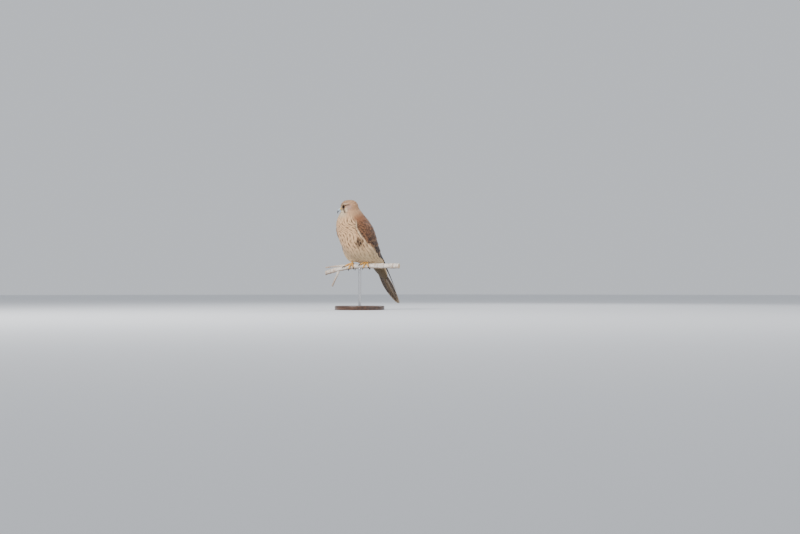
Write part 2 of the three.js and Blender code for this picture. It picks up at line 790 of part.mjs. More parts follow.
// Finishes
const finish = (color, roughness, metalness = 0) =>
  new THREE.MeshStandardMaterial({ color, roughness, metalness });
const finishes = {
  plumage: finish(0xc49a74, 0.9),
  flight: finish(0x5a4636, 0.7),
  tail: finish(0x8a6a4c, 0.8),
  bill: finish(0x5d6a74, 0.4),
  yellow: finish(0xd8a53a, 0.6),
  eye: finish(0x1c120c, 0.1),
  claw: finish(0x161412, 0.35),
  bark: finish(0xd9d0c2, 0.85),
  base: finish(0x2e2620, 0.5),
  rod: finish(0x9a9a9c, 0.3, 1),
};
function finishOf(name) {
  if (name.startsWith('wing')) return finishes.flight;
  if (name.startsWith('tail')) return finishes.tail;
  if (name.startsWith('eye')) return finishes.eye;
  if (name.startsWith('bill')) return finishes.bill;
  if (name.startsWith('claw')) return finishes.claw;
  if (name.startsWith('foot') || name === 'cere') return finishes.yellow;
  return finishes.plumage;
}

function nodeOf(name, solid, material) {
  const mesh = new THREE.Mesh(geometryOf(solid), material);
  mesh.name = name;
  return mesh;
}

const onPerch = new THREE.Group();
onPerch.position.z = PERCH_TOP;
for (const [name, solid] of Object.entries(bird)) {
  onPerch.add(nodeOf(name, solid, finishOf(name)));
}
onPerch.add(nodeOf('perch_branch', branch, finishes.bark));
onPerch.add(nodeOf('stand_rod', rodSolid(), finishes.rod));

const kestrel = new THREE.Group();
kestrel.add(onPerch, nodeOf('stand_base', baseSolid(), finishes.base));

export default kestrel;
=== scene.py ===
# %% [markdown]
# # A female common kestrel on a birch branch
# The solids made in CAD give the bird its size and pose. Here it gets what the eye sees: a skin, a
# coat of some fifteen thousand small feathers, long wing and tail feathers, scaled feet, a horn bill
# and wet dark eyes. The branch gets its papery bark, and the stand gets stained wood and steel.
#
# The bird faces -Y and its left side is +X. Shapes are worked out in millimetres from the top of
# the branch, where the feet stand, and moved into the frame, in metres, when a mesh is made.

# %% Tools and the frame
import json
import math

import bpy
import numpy as np
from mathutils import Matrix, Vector

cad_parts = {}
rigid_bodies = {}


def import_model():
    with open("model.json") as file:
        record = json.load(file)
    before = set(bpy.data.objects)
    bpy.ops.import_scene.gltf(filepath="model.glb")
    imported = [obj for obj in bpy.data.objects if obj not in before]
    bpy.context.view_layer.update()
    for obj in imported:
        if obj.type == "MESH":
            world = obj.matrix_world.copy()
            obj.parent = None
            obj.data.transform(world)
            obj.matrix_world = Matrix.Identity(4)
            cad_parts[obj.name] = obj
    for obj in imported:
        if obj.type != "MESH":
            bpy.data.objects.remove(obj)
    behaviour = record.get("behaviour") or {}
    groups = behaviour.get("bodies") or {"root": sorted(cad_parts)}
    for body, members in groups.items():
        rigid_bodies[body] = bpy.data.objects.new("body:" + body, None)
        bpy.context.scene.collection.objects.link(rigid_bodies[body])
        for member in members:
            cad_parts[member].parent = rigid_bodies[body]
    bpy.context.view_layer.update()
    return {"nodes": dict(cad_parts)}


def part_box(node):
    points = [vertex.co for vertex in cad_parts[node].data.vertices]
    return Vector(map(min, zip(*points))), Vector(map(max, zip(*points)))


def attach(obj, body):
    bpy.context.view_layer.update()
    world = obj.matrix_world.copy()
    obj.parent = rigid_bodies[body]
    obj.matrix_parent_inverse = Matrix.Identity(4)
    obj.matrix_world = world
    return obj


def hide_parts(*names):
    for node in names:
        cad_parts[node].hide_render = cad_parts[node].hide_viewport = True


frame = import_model()
PERCH_TOP = 134.0  # millimetres from the floor to the top of the branch
rng = np.random.default_rng(7)
print("CAD nodes:", len(frame["nodes"]))

# %% [markdown]
# Every surface below is an array of points. These few helpers do the arithmetic that all of them
# share: a soft step, a mix, a smooth line through given values, and unit vectors.

# %% Small arithmetic
X, Y, Z = np.eye(3)
SIDES = {"left": 1, "right": -1}  # the sign of X on each side


def step(low, high, value):
    """0 below low, 1 above high, an S-shaped rise 3u^2 - 2u^3 between; it falls if low > high."""
    u = np.clip((value - low) / (high - low), 0, 1)
    return u * u * (3 - 2 * u)


def mix(a, b, share):
    """a where share is 0 and b where it is 1."""
    return a + (b - a) * share


def hill(value, centre, spread):
    """A bell: exp(-((value - centre) / spread)^2)."""
    return np.exp(-(((value - centre) / spread) ** 2))


def unit(vectors):
    """The vectors divided by their lengths."""
    return vectors / np.maximum(np.linalg.norm(vectors, axis=-1, keepdims=True), 1e-9)


def dot(a, b):
    """The sum of the products of the components."""
    return np.sum(a * b, axis=-1)


def lengths(vectors):
    """The length of each vector."""
    return np.linalg.norm(vectors, axis=-1)


def full_turn(count):
    """So many evenly spread angles, from 0 up to but without 2 pi."""
    return np.linspace(0, 2 * np.pi, count + 1)[:-1]


def mesh_of(a, b):
    """Two grids: a down the rows and b across the columns."""
    return np.meshgrid(a, b, indexing="ij")


def smooth_line(values, t):
    """Points on the centripetal Catmull-Rom line through values, which t counts from 0."""
    values = np.asarray(values, float)
    if values.ndim == 1:
        return smooth_line(values[:, None], t)[..., 0]
    ends = 2 * values[[0, -1]] - values[[1, -2]]
    line = np.vstack([ends[:1], values, ends[1:]])
    t = np.asarray(t, float)
    i = np.clip(np.floor(t).astype(int), 0, len(values) - 2)
    w = (t - i)[..., None]
    p0, p1, p2, p3 = (line[i + n] for n in range(4))
    d0, d1, d2 = (
        np.sqrt(np.linalg.norm(b - a, axis=-1, keepdims=True))
        for a, b in ((p0, p1), (p1, p2), (p2, p3))
    )
    d1 = np.where(d1 < 1e-2, 1.0, d1)
    d0 = np.where(d0 < 1e-2, d1, d0)
    d2 = np.where(d2 < 1e-2, d1, d2)
    m1 = ((p1 - p0) / d0 - (p2 - p0) / (d0 + d1) + (p2 - p1) / d1) * d1
    m2 = ((p2 - p1) / d1 - (p3 - p1) / (d1 + d2) + (p3 - p2) / d2) * d1
    return p1 + m1 * w + (3 * p2 - 3 * p1 - 2 * m1 - m2) * w**2 + (2 * p1 - 2 * p2 + m1 + m2) * w**3


def along(values, share):
    """The value at a share of the way through an evenly spread list."""
    return smooth_line(values, np.clip(share, 0, 1) * (len(values) - 1))


# %% [markdown]
# The body is a row of stations in the bird's middle plane. Each has a belly point, a back point and
# a half width. They are the same numbers that the solids use, so that skin and solids agree.

# %% Body stations
TAIL_ROOT = np.array([0.0, 60.0, 14.0])
TAIL_TIP = np.array([0.0, 151.0, -117.0])
TAIL_ALONG = TAIL_TIP - TAIL_ROOT
TAIL_UP = unit(np.array([0.0, -TAIL_ALONG[2], TAIL_ALONG[1]]))


def tail_station(k, below, above, half):
    """A station k of the way down the tail: its middle line, less or plus the depths told."""
    middle = TAIL_ROOT + k * TAIL_ALONG
    belly, back = middle - below * TAIL_UP, middle + above * TAIL_UP
    return (belly[1], belly[2], back[1], back[2], half)


BREAST = [
    (-60, 150, -18, 167, 19),
    (-67, 140, -8, 157, 26.5),
    (-73, 127, 4, 143, 34.5),
    (-75, 111, 18, 128, 42),
    (-70, 90, 31, 110, 47.5),
    (-61, 66, 41, 89, 49.5),
    (-49, 44, 49, 68, 48.5),
    (-31, 23, 57, 50, 45),
    (-7, 8, 64, 37, 39.5),
    (21, -3, 71, 26, 33),
]
BODY = BREAST + [
    tail_station(0.06, 17, 15, 27),
    tail_station(0.25, 11, 12, 24.5),
    tail_station(0.43, 7, 10, 22),
    tail_station(0.6, 6, 8.5, 19.5),
    tail_station(0.76, 6, 7.5, 17),
]
TRUNK = BREAST + [
    tail_station(0.06, 16, 14, 26),
    tail_station(0.22, 11, 9, 22),
    tail_station(0.36, 6, 6, 16),
    tail_station(0.44, 3.4, 3.4, 8),
]
ROUNDNESS = 0.94


def ring_frame(stations, t):
    """Middle, half-depth vector and half width of the body's section at station t."""
    line = smooth_line(stations, t)
    zero = np.zeros_like(line[..., 0])
    belly = np.stack([zero, line[..., 0], line[..., 1]], -1)
    back = np.stack([zero, line[..., 2], line[..., 3]], -1)
    return (belly + back) / 2, (back - belly) / 2, line[..., 4]


def form_point(stations, t, theta, roundness=ROUNDNESS):
    """Section points: middle + depth cos(theta)^p + width sin(theta)^p; 0 is the back."""
    middle, rise, half = ring_frame(stations, t)
    c, s = (np.sign(f) * np.abs(f) ** roundness for f in (np.cos(theta), np.sin(theta)))
    return middle + rise * c[..., None] + X * (half * s)[..., None]


def form_normal(stations, t, theta):
    """The outward normal, from the cross product of the two small differences."""
    d = 0.02
    forward = form_point(stations, t + d, theta) - form_point(stations, t - d, theta)
    around = form_point(stations, t, theta + d) - form_point(stations, t, theta - d)
    return unit(np.cross(around, forward))


print("body stations:", len(BODY), "trunk stations:", len(TRUNK))

# %% [markdown]
# The head is an egg with raised and sunk places for brow, eye socket and cheek. It is turned to the
# bird's right and a little down. `head_radius` gives the distance from its centre to its surface
# in any direction, which makes it easy to blend with the neck.

# %% Head form
HEAD_CENTRE = np.array([0.0, -42.0, 163.0])
HEAD_TURN, HEAD_NOD = math.radians(-48), math.radians(18)
HEAD_FORMS = [
    ((0.62, -0.68, 0.42), (0.5, 0.45, 0.17), 1.9),
    ((0.8, -0.58, 0.12), (0.3, 0.3, 0.2), -1.6),
    ((0.7, -0.3, -0.5), (0.4, 0.5, 0.4), 1.6),
    ((0, -0.7, 0.7), (0.5, 0.4, 0.35), 0.8),
    ((0, 0.5, 0.85), (0.9, 0.6, 0.5), -2.2),
    ((0, 0.9, -0.3), (0.8, 0.6, 0.5), 1.5),
]
c, s = math.cos(HEAD_TURN), math.sin(HEAD_TURN)
turn = np.array([[c, -s, 0], [s, c, 0], [0, 0, 1]])
c, s = math.cos(HEAD_NOD), math.sin(HEAD_NOD)
nod = np.array([[1, 0, 0], [0, c, -s], [0, s, c]])
HEAD_AXES = turn @ nod


def from_head(points):
    """Points given in the head's own frame, placed on the bird."""
    return points @ HEAD_AXES.T + HEAD_CENTRE


def to_head(points):
    """Points of the bird, in the head's own frame."""
    return (points - HEAD_CENTRE) @ HEAD_AXES


def head_radius(way):
    """Length of the scaled egg in that direction, plus the sum of the bells of HEAD_FORMS."""
    face = step(0.35, 1, -way[..., 1])
    egg = np.stack(
        [
            way[..., 0] * 22.5 * (1 - 0.3 * face),
            way[..., 1] * np.where(way[..., 1] < 0, 22, 26),
            way[..., 2] * np.where(way[..., 2] > 0, 20.5, 22),
        ],
        -1,
    )
    radius = lengths(egg)
    mirrored = np.abs(way) * [1, 0, 0] + way * [0, 1, 1]
    for at, spread, rise in HEAD_FORMS:
        off = (mirrored - at) / spread
        radius = radius + rise * np.exp(-dot(off, off))
    return radius


# %% [markdown]
# The skin is one closed-looking surface from the bill to the tail. Its rings start round the bill,
# open over the head, close round the neck and then follow the body's stations. Along every ring a
# ray is shortened until it meets the softly joined forms of head, body and thighs. Because the
# rings run from bill to tail, their lengthwise direction is also the way that the feathers lie.

# %% Distances to the forms
THIGH_PATHS = [
    [(35, 8, 60), (37, 4, 42), (29, 10.5, 23), (20.3, 13, 9)],
    [(-35, -8, 60), (-37, -12, 42), (-29, -12.5, 23), (-20.3, -10, 9)],
]
THIGH_RADII = [13, 15.5, 12.5, 6.5]


def soft_min(a, b, width):
    """The smaller of two distances, rounded where they differ by less than width."""
    h = np.clip(0.5 + 0.5 * (b - a) / width, 0, 1)
    return mix(b, a, h) - width * h * (1 - h)


def head_distance(points):
    """How far points lie outside the head, along the ray from its centre."""
    local = to_head(points)
    return lengths(local) - head_radius(unit(local))


def trunk_station(points):
    """The station whose section plane each point lies in, and its height over the first one."""
    fine = np.linspace(0, 6.5, 53)
    middle, rise, half = ring_frame(TRUNK, fine)
    normal = unit(np.cross(rise, X))
    ahead = np.einsum("...j,nj->...n", points, normal) - dot(middle, normal)
    before = np.clip(np.sum(ahead > 0, axis=-1) - 1, 0, len(fine) - 2)
    low = np.take_along_axis(ahead, before[..., None], -1)[..., 0]
    high = np.take_along_axis(ahead, before[..., None] + 1, -1)[..., 0]
    t = fine[before] + (fine[1] - fine[0]) * np.clip(low / np.where(low == high, 1, low - high), 0, 1)
    return t, -ahead[..., 0]


def trunk_turn(points, t):
    """The middle of each point's section, the point's distance from it and its angle round it."""
    middle, rise, half = ring_frame(TRUNK, t)
    off = points - middle
    up = dot(off, unit(rise))
    angle = np.arctan2(off[..., 0] / half, up / lengths(rise))
    return middle, np.hypot(up, off[..., 0]), angle


def trunk_distance(points):
    """How far points lie outside the trunk, measured in the section plane they fall in."""
    t, over_neck = trunk_station(points)
    middle, radius, angle = trunk_turn(points, t)
    rim = form_point(TRUNK, t, angle) - middle
    return np.maximum(radius - lengths(rim), over_neck)


def thigh_distance(points):
    """How far points lie outside the nearer thigh, a tube of changing radius."""
    share = np.linspace(0, 1, 17)
    nearest = np.full(points.shape[:-1], np.inf)
    for path in THIGH_PATHS:
        for spot, size in zip(along(path, share), along(THIGH_RADII, share)):
            nearest = np.minimum(nearest, lengths(points - spot) - size)
    return nearest


EYE_RADIUS, SEAT_RADIUS = 5.6, 5.7
SEAT_FULL, SEAT_EDGE = 4.8, 7.6  # the eye's seat fades out between these, off the eye's axis
SEAT_REACH = 14  # and it ends this far from the eye's centre
NOT_NEAR = 99.0
eye_axis, eye_centre = {}, {}
for name, side in SIDES.items():
    low, high = (np.array(corner) * 1000 - Z * PERCH_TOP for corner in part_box(f"eye_{name}"))
    eye_centre[side] = (low + high) / 2
    eye_axis[side] = HEAD_AXES @ unit(np.array([side * 0.86, -0.5, 0.06]))


def eye_clearance(points):
    """Distance from the axis that the nearer eye looks along, on the eye's own side."""
    nearest = np.full(points.shape[:-1], NOT_NEAR)
    for side, centre in eye_centre.items():
        off = points - centre
        out = dot(off, eye_axis[side])
        away = lengths(off - out[..., None] * eye_axis[side])
        nearest = np.minimum(nearest, np.where(out > -2, away, NOT_NEAR))
    return nearest


print("head reaches", round(float(head_radius(-Y)), 1), "mm ahead of its centre")

# %% Rings of the skin
forward = HEAD_AXES @ -Y
up_neck = unit(np.array([0.0, -0.27, 1.0]))
beside = unit(np.cross(forward, up_neck))
SWEEP = math.acos(float(forward @ up_neck))
HEAD_END, NECK_END = 1.0, 4.6  # rows count along the bird: head, then neck, then body stations
STATION_SHIFT = 0.2  # a row's body station is its count plus this
ROW_END = len(TRUNK) - 1 - STATION_SHIFT
FIRST_RING, LAST_RING = math.radians(10), math.radians(118)
SLOWING = 0.62
NECK_ROUND, THIGH_ROUND = 10.0, 9.0  # millimetres over which two forms are joined
RAY_LENGTH, RAY_STEPS = 95.0, 45  # a ray's first length, and how often it is shortened
RAY_LIMITS = (0.5, 120)
RAY_SHARE = 0.75  # the share of the distance left that each shortening takes


def head_rays(row, theta):
    """Unit rays on a cone whose axis sweeps from the bill to the crown while it opens.

    The share r + SLOWING r (1 - r) of a row r slows the rings to the pace of the body's rows.
    """
    share = row * (1 + SLOWING - SLOWING * row)
    swing = share * SWEEP
    axis = forward * np.cos(swing)[..., None] + np.cross(beside, forward) * np.sin(swing)[..., None]
    back = np.cross(beside, axis)
    open_ = mix(FIRST_RING, LAST_RING, share)
    rim = back * np.cos(theta)[..., None] - beside * np.sin(theta)[..., None]
    return axis * np.cos(open_)[..., None] + rim * np.sin(open_)[..., None]


def meet(origin, ray, distance):
    """Walks back along each ray by a share of the distance left, until it stands on the surface."""
    reach = np.full(ray.shape[:-1], RAY_LENGTH)
    for _ in range(RAY_STEPS):
        reach = np.clip(reach - RAY_SHARE * distance(origin + ray * reach[..., None]), *RAY_LIMITS)
    return origin + ray * reach[..., None]


def head_and_neck(points):
    """Outside the head or the trunk, joined with a soft round."""
    return soft_min(head_distance(points), trunk_distance(points), NECK_ROUND)


def bird_shape(rows, theta):
    """The outside of the whole bird at each row and angle."""
    row, turn_ = mesh_of(rows, theta)
    station = row + STATION_SHIFT
    points = np.zeros(row.shape + (3,))
    on_head = row <= HEAD_END
    points[on_head] = meet(HEAD_CENTRE, head_rays(row[on_head], turn_[on_head]), head_and_neck)

    on_body = row > HEAD_END
    middle, _, _ = ring_frame(TRUNK, station[on_body])
    rim = form_point(TRUNK, station[on_body], turn_[on_body]) - middle
    length = lengths(rim)

    def body_and_thighs(spots):
        """Outside the station's own rim or the thigh, joined with a soft round."""
        outside = lengths(spots - middle) - length
        return soft_min(outside, thigh_distance(spots), THIGH_ROUND)

    body = meet(middle, unit(rim), body_and_thighs)
    share = np.clip((row[on_body] - HEAD_END) / (NECK_END - HEAD_END), 0, 1)[:, None]
    neck_foot = ring_frame(TRUNK, np.array(NECK_END + STATION_SHIFT))[0]
    origin = mix(mix(HEAD_CENTRE, neck_foot, share), middle, share**2)
    last = head_rays(np.ones_like(turn_[on_body]), turn_[on_body])
    neck = meet(origin, unit(mix(last, unit(rim), step(0, 1, share))), head_and_neck)
    points[on_body] = mix(neck, body, step(NECK_END, NECK_END + 1.0, row[on_body])[:, None])
    return points


even = np.linspace(0, 1, 81)
head_rows = (1 + SLOWING - np.sqrt((1 + SLOWING) ** 2 - 4 * SLOWING * even)) / (2 * SLOWING)
GRID_ROWS = np.concatenate([head_rows * HEAD_END, np.linspace(HEAD_END, ROW_END, 231)[1:]])
GRID_TURNS = full_turn(144)
SHAPE = bird_shape(GRID_ROWS, GRID_TURNS)


def blur(grid, times):
    """Averages each point with its four neighbours; the angle wraps round."""
    for _ in range(times):
        inner = (grid[:-2] + grid[2:]) / 2
        around = (np.roll(grid, 1, 1) + np.roll(grid, -1, 1)) / 2
        grid = grid.copy()
        grid[1:-1] = 0.4 * grid[1:-1] + 0.3 * inner + 0.3 * around[1:-1]
    return grid


SHAPE = blur(SHAPE, 4)
SHAPE = mix(SHAPE, blur(SHAPE, 12), hill(GRID_ROWS, 1.05, 0.3)[:, None, None])
for side, centre in eye_centre.items():
    off = SHAPE - centre
    far = lengths(off)[..., None]
    seat = step(SEAT_EDGE, SEAT_FULL, eye_clearance(SHAPE)) * (dot(off, eye_axis[side]) > 0)
    seat = np.where(far < SEAT_REACH, seat[..., None], 0)
    SHAPE = mix(SHAPE, centre + off * np.minimum(1, SEAT_RADIUS / far), seat)
SHAPE = blur(SHAPE, 1)
DOWN_BODY = np.gradient(SHAPE, GRID_ROWS, axis=0)
wrapped = np.concatenate([SHAPE[:, -1:], SHAPE, SHAPE[:, :1]], 1)
AROUND = (wrapped[:, 2:] - wrapped[:, :-2]) / (2 * (GRID_TURNS[1] - GRID_TURNS[0]))
OUTWARD = blur(unit(np.cross(AROUND, DOWN_BODY)), 2)
print("shape grid", SHAPE.shape[:2], "spans", np.ptp(SHAPE.reshape(-1, 3), axis=0).round(0), "mm")


def look_up(grid, row, theta):
    """The grid's value between its points, straight-line in both directions."""
    i = np.interp(row, GRID_ROWS, np.arange(len(GRID_ROWS)))
    j = (theta % (2 * np.pi)) / (2 * np.pi) * len(GRID_TURNS)
    i0 = np.clip(i.astype(int), 0, len(GRID_ROWS) - 2)
    j0 = j.astype(int) % len(GRID_TURNS)
    j1 = (j0 + 1) % len(GRID_TURNS)
    u, w = (i - i0)[..., None], (j - np.floor(j))[..., None]
    return mix(mix(grid[i0, j0], grid[i0, j1], w), mix(grid[i0 + 1, j0], grid[i0 + 1, j1], w), u)


# %% [markdown]
# A few helpers turn arrays into Blender meshes. Each point can carry a ground colour, whose alpha is
# the place of a bar along the feather, and four marks (shaft streak, bars, number of bars, pale
# edge). A map named OFBake places every small feather at its root on the skin's own unwrap.

# %% Meshes from arrays
def linear(red, green, blue):
    """A screen colour, 0 to 255, in the linear values that Blender mixes."""
    share = np.array([red, green, blue]) / 255
    return np.where(share <= 0.04045, share / 12.92, ((share + 0.055) / 1.055) ** 2.4)


def in_frame(points):
    """Points in millimetres over the branch's top, in the frame's metres."""
    return (points + Z * PERCH_TOP) * 0.001


def place_object(name, data):
    """A new object of that name and data, in the scene."""
    piece = bpy.data.objects.new(name, data)
    bpy.context.scene.collection.objects.link(piece)
    return piece


def keep_colours(mesh, label, values):
    """Stores a colour with alpha for each point under a label."""
    layer = mesh.attributes.new(label, "FLOAT_COLOR", "POINT")
    layer.data.foreach_set("color", values.astype(np.float32).ravel())


def new_mesh(name, points, quads, maps, colours):
    """An object from points in millimetres over the branch's top, and faces of four corners."""
    mesh = bpy.data.meshes.new(name)
    mesh.vertices.add(len(points))
    mesh.vertices.foreach_set("co", in_frame(points).astype(np.float32).ravel())
    corners = quads.shape[1]
    mesh.loops.add(quads.size)
    mesh.loops.foreach_set("vertex_index", quads.astype(np.int32).ravel())
    mesh.polygons.add(len(quads))
    mesh.polygons.foreach_set("loop_start", np.arange(0, quads.size, corners, dtype=np.int32))
    mesh.polygons.foreach_set("use_smooth", np.ones(len(quads), dtype=bool))
    for label, values in maps.items():
        layer = mesh.uv_layers.new(name=label)
        layer.data.foreach_set("uv", values.astype(np.float32).ravel())
    for label, values in colours.items():
        keep_colours(mesh, label, values)
    mesh.update(calc_edges=True)
    mesh.validate()
    return place_object(name, mesh)


def grid_quads(rows, columns, wrap=False):
    """Corner numbers of the faces of a grid of points; wrap closes each row into a ring."""
    i = np.arange(rows - 1)[:, None]
    j = np.arange(columns if wrap else columns - 1)[None, :]
    near, far = i * columns + j, i * columns + (j + 1) % columns
    return np.stack([near, far, far + columns, near + columns], -1).reshape(-1, 4)


def volume(points, triangles):
    """The sum of a.(b x c) / 6 over the triangles, positive when they face outward."""
    a, b, c = points[triangles].transpose(1, 0, 2)
    return np.sum(dot(a, np.cross(b, c))) / 6


def turn_outward(mesh):
    """Turns the whole mesh over if its volume comes out negative."""
    mesh.calc_loop_triangles()
    corner = np.empty(len(mesh.loop_triangles) * 3, dtype=np.int32)
    mesh.loop_triangles.foreach_get("vertices", corner)
    spot = np.empty(len(mesh.vertices) * 3)
    mesh.vertices.foreach_get("co", spot)
    if volume(spot.reshape(-1, 3), corner.reshape(-1, 3)) < 0:
        mesh.flip_normals()


def skin_map(row, theta):
    """Where a place on the skin lies on the bake map: rows down, angle from 0 to 2 pi across."""
    return np.stack([0.02 + 0.96 * theta / (2 * np.pi), 0.98 - 0.96 * row / ROW_END], -1)


# %% [markdown]
# ## Plumage colours
# A female kestrel is warm buff below, with dark drops in lines down her breast, and rufous brown
# above with black bars. Her face is pale, with a dark line behind the eye and a dark moustache
# below it. `plumage` gives these for any place on the bird, so the skin and the small feathers over
# it agree. It lays one mark after another over a plain ground.

# %% Colours by place
CREAM = linear(236, 214, 180)
BUFF = linear(234, 190, 144)
PALE_BUFF = linear(206, 178, 138)
CROWN = linear(205, 162, 124)
EAR = linear(188, 150, 130)
RUFOUS = linear(165, 112, 78)
RUMP = linear(150, 122, 98)
MOUSTACHE = linear(64, 51, 46)
DARK = linear(62, 44, 34)
STREAK = linear(98, 66, 46)
SHADED = linear(104, 94, 70)


def chance(n):
    """A repeatable number from 0 to 1 for each whole number: the fraction of 43758 sin(12.9898 n)."""
    return np.abs(np.sin(n * 12.9898 + 4.1) * 43758.5453) % 1


def pace_at(grid, row, theta, least):
    """How many millimetres a unit of row or angle spans at each place, but no fewer than least."""
    return np.maximum(lengths(look_up(grid, row, theta)), least)


WALK_STEPS = 10


def walk(row, theta, length):
    """Rows reached at even steps of a length down the bird, by adding step / pace each time."""
    rows = [row]
    for _ in range(WALK_STEPS):
        rows.append(rows[-1] + length / WALK_STEPS / pace_at(DOWN_BODY, rows[-1], theta, 4))
    return np.stack(rows, -1)


def drops(row, theta, lines, period, width, seed=0):
    """Dark drops in lines down the body: pointed at both ends, each line shifted by chance."""
    i = theta / (2 * np.pi) * lines + 0.22 * np.sin(3.1 * row + 1.7 * np.sin(theta * 3))
    line = np.floor(i) % lines
    across = i % 1 - 0.5 + 0.2 * (chance(line + seed) - 0.5)
    run = row / period + chance(line + seed + 50)
    along_ = run % 1 - 0.5
    size = 0.6 + 0.7 * chance(line * 31 + np.floor(run) + seed)
    half_ = width * size * (1 - (along_ / 0.44) ** 2)
    return step(0.05, -0.05, np.abs(across) - half_)


below_neck = GRID_ROWS[:, None] > NECK_END
neck_station, _ = trunk_station(SHAPE)
neck_turn = np.degrees(np.abs(trunk_turn(SHAPE, neck_station)[2]))
own_turn = np.degrees(np.minimum(GRID_TURNS, 2 * np.pi - GRID_TURNS))
BODY_PLACE = np.stack(
    [
        np.where(below_neck, GRID_ROWS[:, None] + STATION_SHIFT, neck_station),
        np.where(below_neck, own_turn, neck_turn),
    ],
    -1,
)
WING_FROM, WING_TO = 2.6, 14
WING_LOW = [106, 116, 109, 99, 90, 77, 66, 60, 58]
WING_HIGH = [66, 38, 22, 14, 8, 5, 5, 7, 12]


def wing_place(row, theta):
    """Where a place lies on the folded wing: s from shoulder to tip, c from lower to back edge."""
    station, turn_ = np.moveaxis(look_up(BODY_PLACE, row, theta), -1, 0)
    s = (station - WING_FROM) / (WING_TO - WING_FROM)
    low, high = along(WING_LOW, s), along(WING_HIGH, s)
    return s, (low - turn_) / (low - high)


# middle of a dark patch on the left flank: dark spots over painted shade
FLANK_SPOTS_AND_SHADE = np.array([37.0, -34.0, 59.0])


def paint(tone, colour, weight):
    """A colour laid over the tone so far, by a weight from 0 to 1."""
    return mix(tone, colour, np.clip(weight, 0, 1)[..., None])


def head_places(points):
    """How far points lie beside, behind and above the head's middle, and over the eye's line."""
    q = to_head(points)
    beside_, behind, high = np.abs(q[..., 0]), q[..., 1], q[..., 2]
    return beside_, behind, high, high + 0.18 * (behind + 8)


def face_ground(tone, points, face):
    """The brown crown, the ear patch, and the pale cheek, throat, brow and forehead."""
    beside_, behind, high, over_eye = head_places(points)
    off_throat = lengths(to_head(points) - [0, -38, -20])
    tone = paint(tone, mix(CROWN, RUFOUS, 0.25), face)
    tone = paint(tone, CROWN, face * step(2, 8, high))
    ear = face * hill(behind, 3, 8) * hill(high, -4, 8) * step(8, 14, beside_)
    tone = paint(tone, EAR, ear)
    pale = hill(behind, -7.5, 5) * hill(high, -9, 7) * step(6, 11, beside_)
    pale = np.maximum(pale, step(-1, -7, high) * step(-3, -14, behind))
    tone = paint(tone, CREAM, 0.85 * face * pale)
    tone = paint(tone, CREAM, 0.45 * hill(off_throat, 0, 20))
    brow = hill(over_eye, 8.5, 2.2) * step(10, 14, beside_) * step(8, -2, behind)
    tone = paint(tone, CREAM, 0.55 * face * brow)
    return paint(tone, CREAM, 0.5 * step(-17, -22, behind) * face)


def face_lines(tone, points):
    """The dark line behind the eye, the moustache below it and the smudge before it."""
    beside_, behind, high, over_eye = head_places(points)
    line = hill(over_eye, 4.6, 2.0) * step(-9, -6, behind) * step(11, 4, behind) * step(9, 13, beside_)
    stripe = hill(behind, -13.7 - 0.12 * (high + 4), 2.8) * step(-19, -15, high) * step(-1, -3.5, high)
    tone = paint(tone, MOUSTACHE, 0.95 * line + 0.95 * stripe * step(4, 9, beside_))
    smudge = hill(high, 1.5, 2.5) * hill(behind, -18.5, 2.0) * step(6, 10, beside_)
    return paint(tone, MOUSTACHE, 0.75 * smudge)


def breast_drops(tone, row, theta, above, low_down):
    """Two sets of streaks over the breast and belly, and broader drops along the sides."""
    strength = 0.95 * step(0.8, 1.6, row) * (1 - above) * mix(1, 0.45, low_down)
    strength = strength * mix(0.45, 1, step(0.75, 1.2, row)) * step(9.5, 8.0, row)
    tone = paint(tone, STREAK, strength * drops(row, theta, 30, 0.72, 0.16))
    tone = paint(tone, STREAK, 0.7 * strength * drops(row, theta, 43, 0.55, 0.13, 7))
    at_side = hill(np.cos(theta), 0.0, 0.3)
    return paint(tone, DARK, 0.6 * strength * at_side * drops(row, theta, 26, 0.62, 0.2, 9))


def upper_drops(tone, row, theta, high, face, above):
    """Fine streaks on the crown, small drops on the nape and broad ones on the back."""
    crown = np.maximum(face * step(0, 6, high), above * step(1.9, 1.2, row))
    tone = paint(tone, STREAK, 0.7 * crown * drops(row, theta, 96, 0.11, 0.17, 5))
    nape = above * step(0.9, 1.3, row) * step(2.4, 1.9, row)
    tone = paint(tone, DARK, 0.6 * nape * drops(row, theta, 60, 0.3, 0.14, 6))
    return paint(tone, DARK, 0.8 * above * step(1.4, 2.2, row) * drops(row, theta, 44, 0.3, 0.3, 3))


def wing_edge_marks(tone, row, theta, s, c):
    """The spotted shoulder, and the pale line along the wing's lower edge between two dark ones."""
    edge = mix(-0.05, 0.05, step(0.08, 0.36, s)) + 0.1 * (np.sin(theta) < 0)
    on_wing = step(0.03, 0.08, c - edge) * step(0.95, 0.85, c)
    on_wing = on_wing * step(0.01, 0.07, s) * step(0.36, 0.26, s)
    tone = paint(tone, mix(RUFOUS, STREAK, 0.5), 0.9 * on_wing)
    tone = paint(tone, DARK, 0.9 * on_wing * drops(row, theta, 32, 0.36, 0.36, 3))
    beside_wing = step(-0.02, 0.06, s) * (0.6 * step(0.3, 0.14, s) + 0.4 * step(0.45, 0.35, s))
    tone = paint(tone, CREAM, 0.8 * beside_wing * hill(c, edge, 0.02))
    dark_lines = hill(c, edge - 0.05, 0.018) + hill(c, edge + 0.055, 0.022)
    return paint(tone, DARK, 0.75 * beside_wing * dark_lines)


